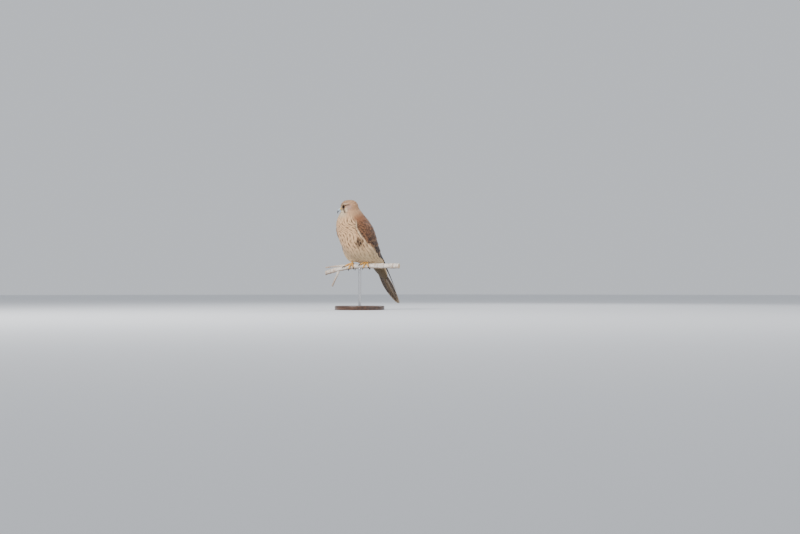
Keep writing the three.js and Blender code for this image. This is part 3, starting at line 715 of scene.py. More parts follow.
def plumage(points, row, theta):
    """Ground colour at each place of the head and body, laid over each other from the plainest."""
    back = np.cos(theta)
    face = 1 - step(0.75, 1.35, row)
    s, c = wing_place(row, theta)
    below_wing = step(0.1, 0.25, s) * step(0.35, 0.2, c)
    above = step(0.05, 0.4, back) * step(0.75, 1.75, row) * (1 - below_wing)
    low_down = step(5.0, 7.5, row)
    tone = mix(BUFF, PALE_BUFF, low_down[..., None])
    tone = mix(tone, mix(RUFOUS, RUMP, step(8, 10, row)[..., None]), above[..., None])
    tone = face_ground(tone, points, face)
    tone = breast_drops(tone, row, theta, above, low_down)
    tone = upper_drops(tone, row, theta, head_places(points)[2], face, above)
    tone = wing_edge_marks(tone, row, theta, s, c)
    # a dark patch on the left flank before the wing: painted shade, with dark spots over it
    spots_and_shade = step(14, 6, lengths((points - FLANK_SPOTS_AND_SHADE) * [1, 1, 0.7]))
    tone = paint(tone, DARK, spots_and_shade * (0.62 + 0.38 * drops(row, theta, 52, 0.5, 0.42, 4)))
    tone = paint(tone, mix(SHADED, DARK, 0.55), 0.92 * step(9.2, 10.6, row) * step(0.2, -0.4, back))
    return face_lines(tone, points)


# %% The skin itself
def coat_depth(row):
    """How far the skin lies under the coat: thin on the face, deeper on the body."""
    return mix(0.7, 2.3, step(0.35, 1.6, row))


skin_points = SHAPE - OUTWARD * coat_depth(GRID_ROWS)[:, None, None]
grid_row, grid_turn = mesh_of(GRID_ROWS, GRID_TURNS)
skin_tone = plumage(SHAPE, grid_row, grid_turn)
skin_quads = grid_quads(len(GRID_ROWS), len(GRID_TURNS), wrap=True)
flat_row, flat_turn = grid_row.ravel()[skin_quads], grid_turn.ravel()[skin_quads]
flat_turn = np.where((flat_turn == 0) & (flat_turn.max(1, keepdims=True) > np.pi), 2 * np.pi, flat_turn)
ones = np.ones(skin_tone.shape[:-1] + (1,))
# The skin takes the plumage's colours, painted darker by a fifth as shade under the coat.
skin = new_mesh(
    "skin",
    skin_points.reshape(-1, 3),
    skin_quads[:, ::-1],
    maps={"OFBake": skin_map(flat_row, flat_turn)[:, ::-1]},
    colours={"ground": np.concatenate([skin_tone * 0.8, ones], -1)},
)
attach(skin, "root")
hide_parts("head", "neck", "torso", "thigh_left", "thigh_right")
print("skin faces:", len(skin.data.polygons))

# %% [markdown]
# ## The coat
# One feather is a small grid of points, narrow at its root, with a rounded and frayed tip. It is
# laid by walking along the skin's own rows and angles, so that it bends with the body, and it rises
# from the skin at its root to the top of the coat at its tip. All the feathers of a piece are made
# at once, as arrays with a feather to each row.

# %% Laying feathers
PATCH = 0.003  # size of a feather's place on the bake map
MOST_BARS = 20  # the third mark gives the number of bars as a share of this
PLAIN_MARK = (0.0, 0.0, 0.1, 0.0)  # no streak, bars of no strength, two of them, no pale edge
BAR_PLACE = 0.8  # where along a feather one of its bars stands
YAW = 0.07  # how far small feathers lie off the skin's rows, in radians


def feather_template(rows, columns):
    """Shares along the vane, 0 at the root, and across it, -1 to 1, with the faces between."""
    k, u = mesh_of(np.linspace(0, 1, rows + 1), np.linspace(-1, 1, columns + 1))
    return k.ravel(), u.ravel(), grid_quads(rows + 1, columns + 1)


def repeat_faces(quads, points_each, count):
    """The template's faces once for each feather."""
    return (quads[None] + np.arange(count)[:, None, None] * points_each).reshape(-1, 4)


def lay_coat(name, roots, length, half, lift=0.2, rows=4, columns=8, fray=0.13, marks=None):
    """Feathers at roots (row, angle), as long and half as wide as told, in one piece of mesh.

    marks gives each feather's shading marks and its own ground colour; without it the colour at
    each point is the plumage's colour at that place.
    """
    row, theta = roots.T
    count = len(row)
    k, u, quads = feather_template(rows, columns)
    ragged = fray * np.tile(rng.random((count, columns + 1)), rows + 1)
    tip = 0.3 * np.abs(u) ** 2.2 + ragged * k**3
    swing = rng.normal(0, YAW, (count, 1))
    on = length[:, None] * k * (1 - tip)
    off = half[:, None] * u * (0.4 + 0.6 * step(0, 0.45, k)) * (1 - 0.25 * step(0.55, 1, k))
    down = pace_at(DOWN_BODY, row, theta, 4)[:, None]
    around = pace_at(AROUND, row, theta, 2)[:, None]
    rows_on = walk(row, theta, length)
    place = np.clip(on / length[:, None], 0, 1) * WALK_STEPS
    before = np.clip(place.astype(int), 0, WALK_STEPS - 1)
    low, high_ = (np.take_along_axis(rows_on, before + n, 1) for n in (0, 1))
    r = mix(low, high_, place - before) - off * np.sin(swing) / down
    t = theta[:, None] + (on * np.sin(swing) + off * np.cos(swing)) / around
    depth = coat_depth(row)[:, None]
    stray = rng.normal(0, 0.07, (count, 1)) * k
    rise = np.broadcast_to(lift, (count,))[:, None]
    high = mix(-depth - 0.3, rise + stray, 1 - (1 - k) ** 2.2) - 0.05 * half[:, None] * u**2
    spot = look_up(SHAPE, r, t)
    points = spot + look_up(OUTWARD, r, t) * high[..., None]
    bar_place = BAR_PLACE + rng.normal(0, 0.08, (count, 1, 1))
    if marks is None:
        tone = plumage(spot, r, t)
        marks = np.broadcast_to(PLAIN_MARK, (count, 4))
    else:
        tone, marks = marks
        tone = np.broadcast_to(tone[:, None], points.shape)
    tone = tone * rng.normal(1, 0.05, (count, 1, 1))
    faces = repeat_faces(quads, len(k), count)[:, ::-1]
    own = np.broadcast_to(np.stack([0.5 + 0.5 * u, k], -1), (count, len(k), 2))
    patch = skin_map(row, theta % (2 * np.pi))[:, None] + PATCH * np.stack([0.5 * u, 0.5 - k], -1)
    piece = new_mesh(
        name,
        points.reshape(-1, 3),
        faces,
        maps={
            "OFBake": patch.reshape(-1, 2)[faces],
            "Vane": own.reshape(-1, 2)[faces],
        },
        colours={
            "ground": np.concatenate([tone, bar_place + 0 * tone[..., :1]], -1).reshape(-1, 4),
            "marks": np.broadcast_to(marks[:, None], (count, len(k), 4)).reshape(-1, 4),
        },
    )
    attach(piece, "root")
    return piece


# %% Where the small feathers grow
FEATHER_GAP, FEATHER_LENGTH, FEATHER_HALF = (1.25, 2.45), (3.9, 12.5), (0.8, 2.4)  # face, then body
GROWN = (0.3, 2.6)  # the rows between which feathers grow from the face's size to the body's
EYE_BARE = 4.7  # millimetres off the eye's axis that stay free of feathers
PIECE_FEATHERS = 2900  # most feathers in one piece


def brick_places(first, last, spacing):
    """Roots in rows across the bird, each row shifted by half a step, thinned where rows crowd."""
    places = []
    row, shifted = first, False
    theta = full_turn(720)
    while row < last:
        gap = spacing(row)
        line = np.full_like(theta, row)
        across, pace = (pace_at(grid, line, theta, 0) for grid in (AROUND, DOWN_BODY))
        run = np.concatenate([[0], np.cumsum(across) * (theta[1] - theta[0])])
        number = max(6, int(run[-1] / gap))
        spots = (np.arange(number) + 0.5 * shifted + rng.normal(0, 0.16, number)) / number % 1
        angle = np.interp(spots * run[-1], run, np.linspace(0, 2 * np.pi, 721))
        pitch = 0.85 * gap / np.percentile(pace, 80)
        keep = rng.random(number) < np.interp(angle, theta, pace) * pitch / (0.8 * gap)
        places.append(np.stack([row + rng.normal(0, 0.12, number) * pitch, angle], -1)[keep])
        row, shifted = row + pitch, not shifted
    return np.vstack(places)


def under_wing(roots):
    """True deep under a folded wing, where no small feather shows."""
    s, c = wing_place(*roots.T)
    return (s > 0.07) & (c > 0.12 + 0.3 * step(0.35, 0.7, s)) & (c < 0.92)


def spacing(row):
    """Millimetres between feathers: closest on the face."""
    return float(mix(*FEATHER_GAP, step(*GROWN, row)))


roots = brick_places(0.02, ROW_END - 0.2, spacing)
roots = roots[~under_wing(roots)]
grown = step(*GROWN, roots[:, 0])
clear = eye_clearance(look_up(SHAPE, *roots.T))
length = mix(*FEATHER_LENGTH, grown) * rng.normal(1, 0.08, len(roots))
length = length * mix(0.35, 1.0, step(EYE_BARE, 10, clear))
half = mix(*FEATHER_HALF, grown)
tip_clear = eye_clearance(look_up(SHAPE, walk(*roots.T, length)[:, -1], roots[:, 1]))
keep = (clear > EYE_BARE) & (tip_clear > EYE_BARE)
roots, length, half = roots[keep], length[keep], half[keep]
groups = np.array_split(np.argsort(roots[:, 0]), math.ceil(len(roots) / PIECE_FEATHERS))
coat = [
    lay_coat(f"coat_{n + 1}", roots[group], length[group], half[group]) for n, group in enumerate(groups)
]
print("small feathers:", len(roots), "in", len(coat), "pieces")

# %% [markdown]
# The mantle between the wings and the flanks below them carry larger feathers. The mantle's are
# rufous with a black arrow near the tip, and the flanks' hang over the wing's lower edge.

# %% Mantle and flanks
# each: from row, to row, millimetres between feathers, length and half width
MANTLE_FROM, MANTLE_TO, MANTLE_GAP, MANTLE_LENGTH, MANTLE_HALF = 1.75, 9.5, 5.0, 13.5, 4.3
FLANK_FROM, FLANK_TO, FLANK_GAP, FLANK_LENGTH, FLANK_HALF = 2.4, 9.0, 3.6, 17.0, 3.4
places = brick_places(MANTLE_FROM, MANTLE_TO, lambda row: MANTLE_GAP)
s, c = wing_place(*places.T)
mantle_roots = places[(c > 0.86) & (s > -0.12)]
count = len(mantle_roots)
mantle_tone = mix(RUFOUS, RUMP, step(6, 9, mantle_roots[:, 0])[:, None])
mantle_tone = mantle_tone * rng.normal(1, 0.06, (count, 1))
mantle_marks = rng.uniform([0, 0.75, 0.09, 0.2], [0.06, 1.0, 0.15, 0.6], (count, 4))
lay_coat(
    "mantle",
    mantle_roots,
    np.full(count, MANTLE_LENGTH),
    np.full(count, MANTLE_HALF),
    lift=0.9 + 0.7 * step(0.05, 0.3, (mantle_roots[:, 0] - WING_FROM) / 4),
    rows=6,
    columns=8,
    fray=0.05,
    marks=(mantle_tone, mantle_marks),
)
places = brick_places(FLANK_FROM, FLANK_TO, lambda row: FLANK_GAP)
s, c = wing_place(*places.T)
upper_end = mix(0.17, 0.0, step(0.5, 0.62, s))
flank_roots = places[(c > -0.12) & (c < upper_end) & (s > -0.02) & (s < 0.7)]
lay_coat(
    "flank",
    flank_roots,
    np.full(len(flank_roots), FLANK_LENGTH),
    np.full(len(flank_roots), FLANK_HALF),
    lift=mix(2.3, 0.8, step(0.3, 0.55, wing_place(*flank_roots.T)[0])),
    rows=8,
    columns=12,
)
print("mantle:", count, "flank:", len(flank_roots))

# %% [markdown]
# ## Wings and tail
# A long feather is a closed thin plate: two faces that meet in a sharp rim. The folded wing fans its
# feathers from a few roots, the inner ones on top, with tiers of coverts over them.

# %% Vanes as thin plates
def vane_rings(place, rows, columns):
    """Rings round a vane: its upper face one way across and its lower face back."""
    k, u = mesh_of(np.linspace(0, 1, rows + 1), np.linspace(-1, 1, columns + 1))
    rings = np.concatenate([place(k, u, 1), place(k, u, -1)[:, ::-1]], axis=1)
    own = np.stack([0.5 + 0.5 * u, k], -1)
    return rings, np.concatenate([own, own[:, ::-1]], axis=1)


def plate_faces(rows, columns):
    """Faces of a plate's rings, and of the strips that close its two ends."""
    count = 2 * (columns + 1)
    body = grid_quads(rows + 1, count, wrap=True)
    j = np.arange(columns)
    end = np.stack([j, j + 1, count - 2 - j, count - 1 - j], -1)
    return np.vstack([body, end[:, ::-1], end + rows * count])


def vane_piece(name, feathers, replaces, rows=14, columns=8, stray=0.1, band=(2, 3)):
    """One piece from many vanes. Each is a function of place, a ground colour and its marks.

    stray is how far, in shares of a vane, the bars of neighbours fail to line up. band is where a
    dark band crosses every vane; beyond 1 there is none.
    """
    faces = plate_faces(rows, columns)
    each = (rows + 1) * 2 * (columns + 1)
    cells = math.ceil(math.sqrt(len(feathers)))
    points, own_map, bake, ground, marks = [], [], [], [], []
    for number, (place, tone, mark) in enumerate(feathers):
        rings, own = vane_rings(place, rows, columns)
        points.append(rings.reshape(-1, 3))
        own_map.append(own.reshape(-1, 2))
        cell = np.array([number % cells, number // cells])
        bake.append((cell + 0.05 + 0.9 * own.reshape(-1, 2)) / cells)
        k = own.reshape(-1, 2)[:, 1:]
        banded = step(band[0], band[0] + 0.02, k) * step(band[1] + 0.02, band[1], k)
        bar_place = np.full_like(k, BAR_PLACE + rng.normal(0, stray))
        ground.append(np.hstack([mix(tone, DARK, 0.85 * banded), bar_place]))
        marks.append(np.broadcast_to(mark, (each, 4)))
    all_faces = repeat_faces(faces, each, len(feathers))
    piece = new_mesh(
        name,
        np.vstack(points),
        all_faces,
        maps={"OFBake": np.vstack(bake)[all_faces], "Vane": np.vstack(own_map)[all_faces]},
        colours={"ground": np.vstack(ground), "marks": np.vstack(marks)},
    )
    turn_outward(piece.data)
    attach(piece, "root")
    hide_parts(*replaces)
    return piece


def vane_width(k, taper=0.62):
    """Half the width along a vane: quickly full, then drawn in from taper to a rounded tip."""
    return 0.5 + 0.5 * step(0, 0.25, k) - 0.66 * np.clip((k - taper) / (1 - taper), 0, 1) ** 2.6


# %% Folded wings
VANE_THICK = 0.16  # half a wing feather's thickness, in millimetres
# The wing's rufous is the back's rufous painted darker as shade; the flight feathers' near black, their own
# colour, is darkened further as painted shade.
DARK_FLIGHT = linear(40, 37, 39)
WARM_FLIGHT = linear(104, 74, 58)
WING_RUFOUS_IN_SHADE = 0.62 * RUFOUS
# each tier: how many, then first and last root, tip, half width and lift, in s, c and millimetres
WING_TIERS = {
    "primary": (10, [(0.44, 0.16), (0.4, 0.62)], [(1.0, 0.42), (0.7, 0.7)], (0.15, 0.24), (0.2, 1.6)),
    "secondary": (10, [(0.36, 0.24), (0.3, 0.84)], [(0.7, 0.4), (0.57, 0.94)], (0.15, 0.14), (1.8, 2.5)),
    "primary_covert": (6, [(0.3, 0.04), (0.3, 0.26)], [(0.54, 0.1), (0.49, 0.32)], (0.08,) * 2, (1.4, 1.8)),
    "greater": (11, [(0.28, 0.14), (0.26, 0.9)], [(0.46, 0.2), (0.44, 0.96)], (0.075, 0.075), (2.2, 2.7)),
    "median": (11, [(0.2, 0.06), (0.18, 0.9)], [(0.36, 0.08), (0.34, 0.96)], (0.07, 0.07), (2.3, 2.6)),
    "lesser_1": (12, [(0.14, 0.04), (0.13, 0.9)], [(0.285, 0.03), (0.265, 0.97)], (0.065,) * 2, (2.3, 2.5)),
    "lesser_2": (12, [(0.09, 0.08), (0.08, 0.92)], [(0.225, 0.07), (0.205, 0.97)], (0.065,) * 2, (2.2, 2.3)),
    "lesser_3": (12, [(0.04, 0.04), (0.03, 0.9)], [(0.165, 0.03), (0.15, 0.93)], (0.07, 0.07), (1.8, 2.0)),
    "lesser_4": (11, [(0.0, 0.18), (-0.01, 0.9)], [(0.11, 0.18), (0.1, 0.93)], (0.08, 0.08), (1.3, 1.5)),
}


def wing_brown(share):
    """A brown of the wing, from the near black of the flight feathers at 0 to the rufous, painted darker as
    shade, at 1.
    """
    return mix(DARK_FLIGHT, WING_RUFOUS_IN_SHADE, share)


# first and last ground colour, and the marks: shaft streak, bars, a twentieth of their number, edge
TIER_LOOK = {
    "primary": (DARK_FLIGHT, mix(DARK_FLIGHT, WARM_FLIGHT, 0.4), (0.05, 0.3, 0.45, 0.5)),
    "secondary": (DARK_FLIGHT, WARM_FLIGHT, (0.05, 0.8, 0.3, 0.75)),
    "primary_covert": (DARK_FLIGHT, mix(DARK_FLIGHT, WARM_FLIGHT, 0.5), (0.05, 0.3, 0.2, 0.9)),
    "greater": (wing_brown(0.2), wing_brown(0.55), (0.4, 0.7, 0.14, 0.95)),
    "median": (wing_brown(0.4), wing_brown(0.8), (0.4, 0.75, 0.12, 0.9)),
    "lesser_1": (wing_brown(0.65), WING_RUFOUS_IN_SHADE, (0.35, 0.9, 0.1, 0.7)),
    "lesser_2": (wing_brown(0.85), WING_RUFOUS_IN_SHADE, (0.3, 0.95, 0.1, 0.6)),
    "lesser_3": (wing_brown(1.15), wing_brown(1.15), (0.25, 0.95, 0.1, 0.5)),
    "lesser_4": (wing_brown(1.3), wing_brown(1.2), (0.2, 0.8, 0.1, 0.5)),
}


def wing_point(side, s, c, lift):
    """A point over the folded wing: s from shoulder to tip, c from lower edge to back edge."""
    t = WING_FROM + (WING_TO - WING_FROM) * s
    theta = side * np.radians(mix(along(WING_LOW, s), along(WING_HIGH, s), c))
    return form_point(BODY, t, theta) + form_normal(BODY, t, theta) * lift[..., None]


def wing_vane(side, root, tip, half_, lift_, taper, clear_of_body):
    """The function of place of one vane; the edge that lies under its neighbour is lower."""

    def place(k, u, face):
        reach = k * (1 - 0.06 * u**2 * step(0.5, 1, k))
        s = mix(root[0], tip[0], reach)
        c = mix(root[1], tip[1], reach) + 0.03 * np.sin(np.pi * k) * (k < 1)
        c = c + u * half_ * vane_width(k, taper)
        high = mix(-1.4, lift_, k**0.7) - 0.2 * (1 - u) - 0.25 * u**2
        if clear_of_body:
            high = np.maximum(high, 0.5)
        rim = 0.5 + 0.5 * np.sqrt(1 - u**6)
        return wing_point(side, s, c, high + face * VANE_THICK * rim)

    return place


def wing_feathers(side):
    """Every feather of one wing, from the undermost tier up."""
    feathers = []
    for name, (count, roots_, tips, halves, lifts) in WING_TIERS.items():
        first, last, mark = TIER_LOOK[name]
        for share in np.linspace(0, 1, count):
            root, tip = (mix(np.array(pair[0]), np.array(pair[1]), share) for pair in (roots_, tips))
            tip = tip + rng.normal(0, 0.007, 2)
            taper = 0.62 if name in ("primary", "secondary") else 0.72
            half_, lift_ = mix(*halves, share), mix(*lifts, share)
            place = wing_vane(side, root, tip, half_, lift_, taper, name == "primary")
            tone = mix(first, last, share) * rng.normal(1, 0.08)
            own_mark = np.array(mark) * rng.uniform([0.5, 0.5, 0.7, 0.6], [1.3, 1.05, 1.4, 1.1])
            feathers.append((place, tone, own_mark))
    return feathers


for name, side in SIDES.items():
    wing = vane_piece(f"wing_feathers_{name}", wing_feathers(side), [f"wing_{name}"])
    print(wing.name, len(wing.data.polygons), "faces")

# %% Tail
TAIL_FEATHERS = 6


def tail_vane(side, n):
    """Tail feather n, counted outwards from the middle pair, which is longest and uppermost."""
    tip_k = 1 - 0.006 * n - 0.0075 * n * n

    def place(k, u, face):
        down = mix(0.02, tip_k, k * (1 - 0.03 * u**2 * step(0.5, 1, k)))
        reach = mix(4, 2.5 + 2.55 * n, step(0, 0.75, k))
        half_ = 8.6 * vane_width(k) * mix(1, 0.9, n / (TAIL_FEATHERS - 1))
        sag = 0.35 * u * u + 0.0012 * (reach + u * half_) ** 2
        high = 1.9 - 0.72 * n - sag + face * mix(0.3, 0.15, k)
        spot = TAIL_ROOT + down[..., None] * TAIL_ALONG + TAIL_UP * high[..., None]
        return spot + X * (side * (reach + u * half_))[..., None]

    return place


TAIL_OUTER = linear(124, 106, 90)
# The tail's tones are painted darker, times 0.62, as shade over both of its faces.
tail_tones_in_shade = [mix(RUMP, TAIL_OUTER, n / (TAIL_FEATHERS - 1)) * 0.62 for n in range(TAIL_FEATHERS)]
TAIL_MARK = (0.05, 0.9, 0.6, 0.5)
pairs = [(side, n) for side in (1, -1) for n in range(TAIL_FEATHERS)]
tail = vane_piece(
    "tail_feathers",
    [(tail_vane(side, n), tail_tones_in_shade[n], TAIL_MARK) for side, n in pairs],
    ["tail"],
    rows=28,
    stray=0.012,
    band=(0.86, 0.94),
)
print(tail.name, len(tail.data.polygons), "faces")

# %% [markdown]
# ## Eyes, lids, cere and bill
# These are closed shapes made of rings. `ring_part` closes the two ends, and `closed_piece` joins
# parts into one object and turns each part's faces outward, by the sign of its volume.

# %% Closed pieces from rings
def ring_part(rings, tone, ends=True):
    """Points, faces and colours of a tube of rings; ends closes it, else it joins into a torus."""
    rows, columns = rings.shape[:2]
    tone = np.broadcast_to(tone, rings.shape)
    if not ends:
        rings, tone = (np.concatenate([grid, grid[:1]]) for grid in (rings, tone))
        quads = grid_quads(rows + 1, columns, wrap=True) % (rows * columns)
        return rings[:rows].reshape(-1, 3), quads, np.empty((0, 3), int), tone[:rows].reshape(-1, 3)
    quads = grid_quads(rows, columns, wrap=True)
    points = np.vstack([rings.reshape(-1, 3), rings[[0, -1]].mean(1)])
    colours = np.vstack([tone.reshape(-1, 3), tone[[0, -1]].mean(1)])
    ring = np.arange(columns)
    after, last, hub = (ring + 1) % columns, (rows - 1) * columns, rows * columns
    start = np.stack([np.full(columns, hub), after, ring], -1)
    end = np.stack([np.full(columns, hub + 1), last + ring, last + after], -1)
    return points, quads, np.vstack([start, end]), colours


def closed_piece(name, parts, replaces=(), places=None):
    """One object from closed parts; places are extra point vectors for a material to read."""
    points, faces, colours, count = [], [], [], 0
    for spots, quads, corners, tone in parts:
        triangles = np.vstack([quads[:, :3], quads[:, [0, 2, 3]], corners])
        if volume(spots, triangles) < 0:
            quads, corners = quads[:, ::-1], corners[:, ::-1]
        faces += (quads + count).tolist() + (corners + count).tolist()
        points.append(spots)
        colours.append(tone)
        count += len(spots)
    mesh = bpy.data.meshes.new(name)
    mesh.from_pydata(in_frame(np.vstack(points)), [], faces)
    mesh.shade_smooth()
    tone = np.vstack(colours)
    keep_colours(mesh, "ground", np.hstack([tone, np.ones((len(tone), 1))]))
    if places is not None:
        layer = mesh.attributes.new("place", "FLOAT_VECTOR", "POINT")
        layer.data.foreach_set("vector", places.astype(np.float32).ravel())
    piece = place_object(name, mesh)
    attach(piece, "root")
    if replaces:
        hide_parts(*replaces)
    return piece


# %% Eyes and lids
PUPIL, IRIS = linear(6, 5, 5), linear(46, 26, 15)
LID_YELLOW, LID_DARK = linear(204, 172, 84), linear(40, 30, 24)


def eye_frame(side):
    """The eye's axis, the way up across it and the way forward across it."""
    axis = eye_axis[side]
    up = unit(HEAD_AXES @ Z - axis * (HEAD_AXES @ Z @ axis))
    return axis, up, np.cross(up, axis) * side


def on_eye(side, a, b, radius):
    """A point at the angle a off the eye's axis, b round it from the top."""
    axis, up, ahead = eye_frame(side)
    rim = up * np.cos(b)[..., None] + ahead * np.sin(b)[..., None]
    way = axis * np.cos(a)[..., None] + rim * np.sin(a)[..., None]
    return eye_centre[side] + way * np.broadcast_to(radius, a.shape)[..., None]


def ball_angles(rows, columns):
    """Angles from a ball's pole and round it, just short of the two poles."""
    return mesh_of(np.linspace(0.02, np.pi - 0.02, rows), full_turn(columns))


def eyeball(side):
    """A ball with the cornea's bulge, 1 + 0.04 exp(-(a / 0.5)^2), over a pupil and a dark iris."""
    a, b = ball_angles(64, 64)
    fibres = 1 + 0.35 * np.sin(b * 31 + 2 * np.sin(b * 7)) * step(0.4, 0.6, a)
    tone = mix(PUPIL, IRIS * fibres[..., None], step(0.40, 0.45, a)[..., None])
    tone = mix(tone, PUPIL, step(0.74, 0.86, a)[..., None])
    return ring_part(on_eye(side, a, b, (EYE_RADIUS - 0.15) * (1 + 0.04 * hill(a, 0, 0.5))), tone)


def lids(side):
    """A soft ring round the eye, lower on top, wider at its two corners, with fine folds."""
    b, f = mesh_of(full_turn(96), full_turn(24))
    inner = 0.80 - 0.09 * step(0.1, 1, np.cos(b)) + 0.07 * np.abs(np.sin(b)) ** 6
    across = 0.17 * np.cos(f)
    folds = 0.05 * np.sin(b * 40 + 5 * np.sin(b * 3)) * np.maximum(np.sin(f), 0)
    radius = EYE_RADIUS + 0.25 + (0.62 + folds) * np.sin(f)
    tone = mix(LID_YELLOW, LID_DARK, step(0.05, 0.75, -np.cos(f))[..., None])
    return ring_part(on_eye(side, inner + 0.17 + across, b, radius), tone, ends=False)


for name, side in SIDES.items():
    closed_piece(f"eye_{name}_ball", [eyeball(side)], [f"eye_{name}"])
lid_ring = closed_piece("lids", [lids(1), lids(-1)])
print("eye radius", EYE_RADIUS, "mm, lids", len(lid_ring.data.polygons), "faces")

# %% Cere and bill
CERE = [(-17, -6.6, -17, 5.4, 6.6), (-21, -5.2, -21, 5.2, 5.9), (-24.6, -2.9, -24.6, 4.4, 5.0)]
UPPER_BILL = [
    (-24.9, -2.7, -24.9, 4.0, 4.7),
    (-28, -2.9, -28, 3.8, 4.2),
    (-31, -3.9, -31.8, 2.0, 3.3),
    (-32.8, -4.6, -34.8, -1.4, 2.2),
    (-34.5, -7.2, -36.3, -6.0, 1.1),
    (-35.6, -9.6, -36.0, -9.4, 0.3),
]
LOWER_BILL = [
    (-18, -9.4, -18, -6.0, 4.8),
    (-24, -8.0, -24, -4.0, 4.1),
    (-28.5, -6.8, -28.5, -3.8, 3.0),
    (-31.4, -5.6, -31.6, -4.8, 0.9),
]
CERE_YELLOW, NOSTRIL = linear(214, 184, 92), linear(60, 40, 26)
HORN_PALE, HORN_DARK = linear(176, 190, 202), linear(40, 42, 48)
NOSTRIL_AT = np.array([5.4, -22.6, 1.6])
BILL_ROUNDNESS = 0.9


def bill_grid(stations, rows, columns):
    """Rings of a form in the head's frame, with their station and angle from the top."""
    t, theta = mesh_of(np.linspace(0, len(stations) - 1, rows), full_turn(columns))
    from_top = np.degrees(np.abs((theta + np.pi) % (2 * np.pi) - np.pi))
    return form_point(stations, t, theta, BILL_ROUNDNESS), t, from_top


def cere_part():
    """Smooth waxy skin, with a round nostril on each side and the peg that stands in it."""
    grid, t, _ = bill_grid(CERE, 60, 88)
    away = lengths(np.abs(grid) * [1, 0, 0] + grid * [0, 1, 1] - NOSTRIL_AT)
    hole = hill(away, 0, 0.95) ** 1.5 - 0.75 * hill(away, 0, 0.36)
    inward = unit(grid * [-1, 0, -1])
    swell = 0.35 * hill(t, 1.0, 0.5)
    shape = grid + inward * (1.0 * hole - swell * (1 - hill(away, 0, 1.6)))[..., None]
    tone = mix(CERE_YELLOW, NOSTRIL, np.clip(hole, 0, 1)[..., None])
    return ring_part(from_head(shape), tone)


def upper_bill_part():
    """The hooked half, with the tooth and the notch of a falcon on its cutting edge."""
    grid, t, turn_ = bill_grid(UPPER_BILL, 90, 56)
    edge = hill(turn_, 128, 24)
    drop = 0.85 * hill(t, 2.5, 0.22) - 0.45 * hill(t, 2.95, 0.2)
    grid = grid - Z * (drop * edge)[..., None]
    tone = mix(HORN_PALE, HORN_DARK, step(1.2, 3.6, t + 0.3 * hill(turn_, 0, 40))[..., None])
    return ring_part(from_head(grid), tone)


def lower_bill_part():
    """The short trough-shaped half under it, yellow at its root."""
    grid, t, _ = bill_grid(LOWER_BILL, 50, 40)
    tone = mix(CERE_YELLOW, HORN_PALE, step(0.6, 1.3, t)[..., None])
    tone = mix(tone, HORN_DARK, step(1.8, 2.8, t)[..., None])
    return ring_part(from_head(grid), tone)


GAPE_ROWS = 40
GAPE_LINE = [(5.2, -22.6, -4.3), (6.9, -20.4, -5.0), (8.9, -17.6, -5.9), (10.6, -15.2, -6.9)]


def gape_part(side):
    """The soft yellow edge of the mouth, from the bill back to under the eye."""
    path = smooth_line(GAPE_LINE, np.linspace(0, len(GAPE_LINE) - 1, GAPE_ROWS))
    f = full_turn(16)
    thick = 0.62 * np.sin(np.pi * np.linspace(0.12, 0.97, GAPE_ROWS)) ** 0.5
    out = unit(path * [1, 0.3, 0] + [0, 4, 0])
    up = Z * (np.sin(f) * (1 - 0.35 * hill(f, 0.3, 0.3)))[:, None]
    rings = path[:, None] + thick[:, None, None] * (out[:, None] * np.cos(f)[:, None] * 0.8 + up)
    crease = 0.8 * hill(f, 0.1, 0.25)[None, :, None] * np.ones((GAPE_ROWS, 1, 1))
    tone = mix(CERE_YELLOW, LID_DARK, crease)
    return ring_part(from_head(rings * [side, 1, 1]), tone)


closed_piece("cere_skin", [cere_part()], ["cere"])
closed_piece("gape", [gape_part(1), gape_part(-1)])
bill_upper = closed_piece("bill_hook", [upper_bill_part()], ["bill_upper"])
bill_lower = closed_piece("bill_trough", [lower_bill_part()], ["bill_lower"])
print("bill faces:", len(bill_upper.data.polygons) + len(bill_lower.data.polygons))

# %% [markdown]
# ## Branch
# The branch is a bent tube whose bark rises and sinks a little. Places near it are told by the
# distance u along it, the turn round it and the height off the bark, and the toes use them too.

# %% Branch
PERCH_TURN = math.radians(30)
PERCH_FROM, PERCH_TO = -105, 120
ACROSS_PERCH = np.array([math.cos(PERCH_TURN), math.sin(PERCH_TURN), 0])
PERCH_FRONT = np.cross(ACROSS_PERCH, Z)


def perch_radius(u):
    """Half the branch's thickness, which grows by 6 mm in a metre."""
    return 6.8 + 0.006 * u


def perch_middle(u):
    """The branch's middle line, which bends down at its thin end by 0.0013 (u - 20)^2."""
    drop = 0.0013 * np.minimum(0, u - 20) ** 2
    return ACROSS_PERCH * u[..., None] - Z * (drop + perch_radius(u))[..., None]


def off_bark(u, turn_, off):
    """A point off the bark: turn is 0 on top and a quarter turn on the front."""
    radius = (perch_radius(u) + off)[..., None]
    way = Z * np.cos(turn_)[..., None] + PERCH_FRONT * np.sin(turn_)[..., None]
    return perch_middle(u) + way * radius


def path_tube(path, radius, up):
    """Rings round a path; radius has a row for each point and a column for each angle."""
    tangent = unit(np.gradient(path, axis=0))
    rise = unit(up - tangent * dot(up, tangent)[:, None])
    beside_ = np.cross(tangent, rise)
    f = full_turn(radius.shape[1])
    rim = rise[:, None] * np.cos(f)[:, None] + beside_[:, None] * np.sin(f)[:, None]
    return path[:, None] + rim * radius[..., None]


BARK_TOP, BARK_UNDERSIDE_SHADE, BARK_BROWN = linear(236, 226, 212), linear(150, 132, 116), linear(120, 92, 72)
CUT_WOOD = linear(206, 176, 132)


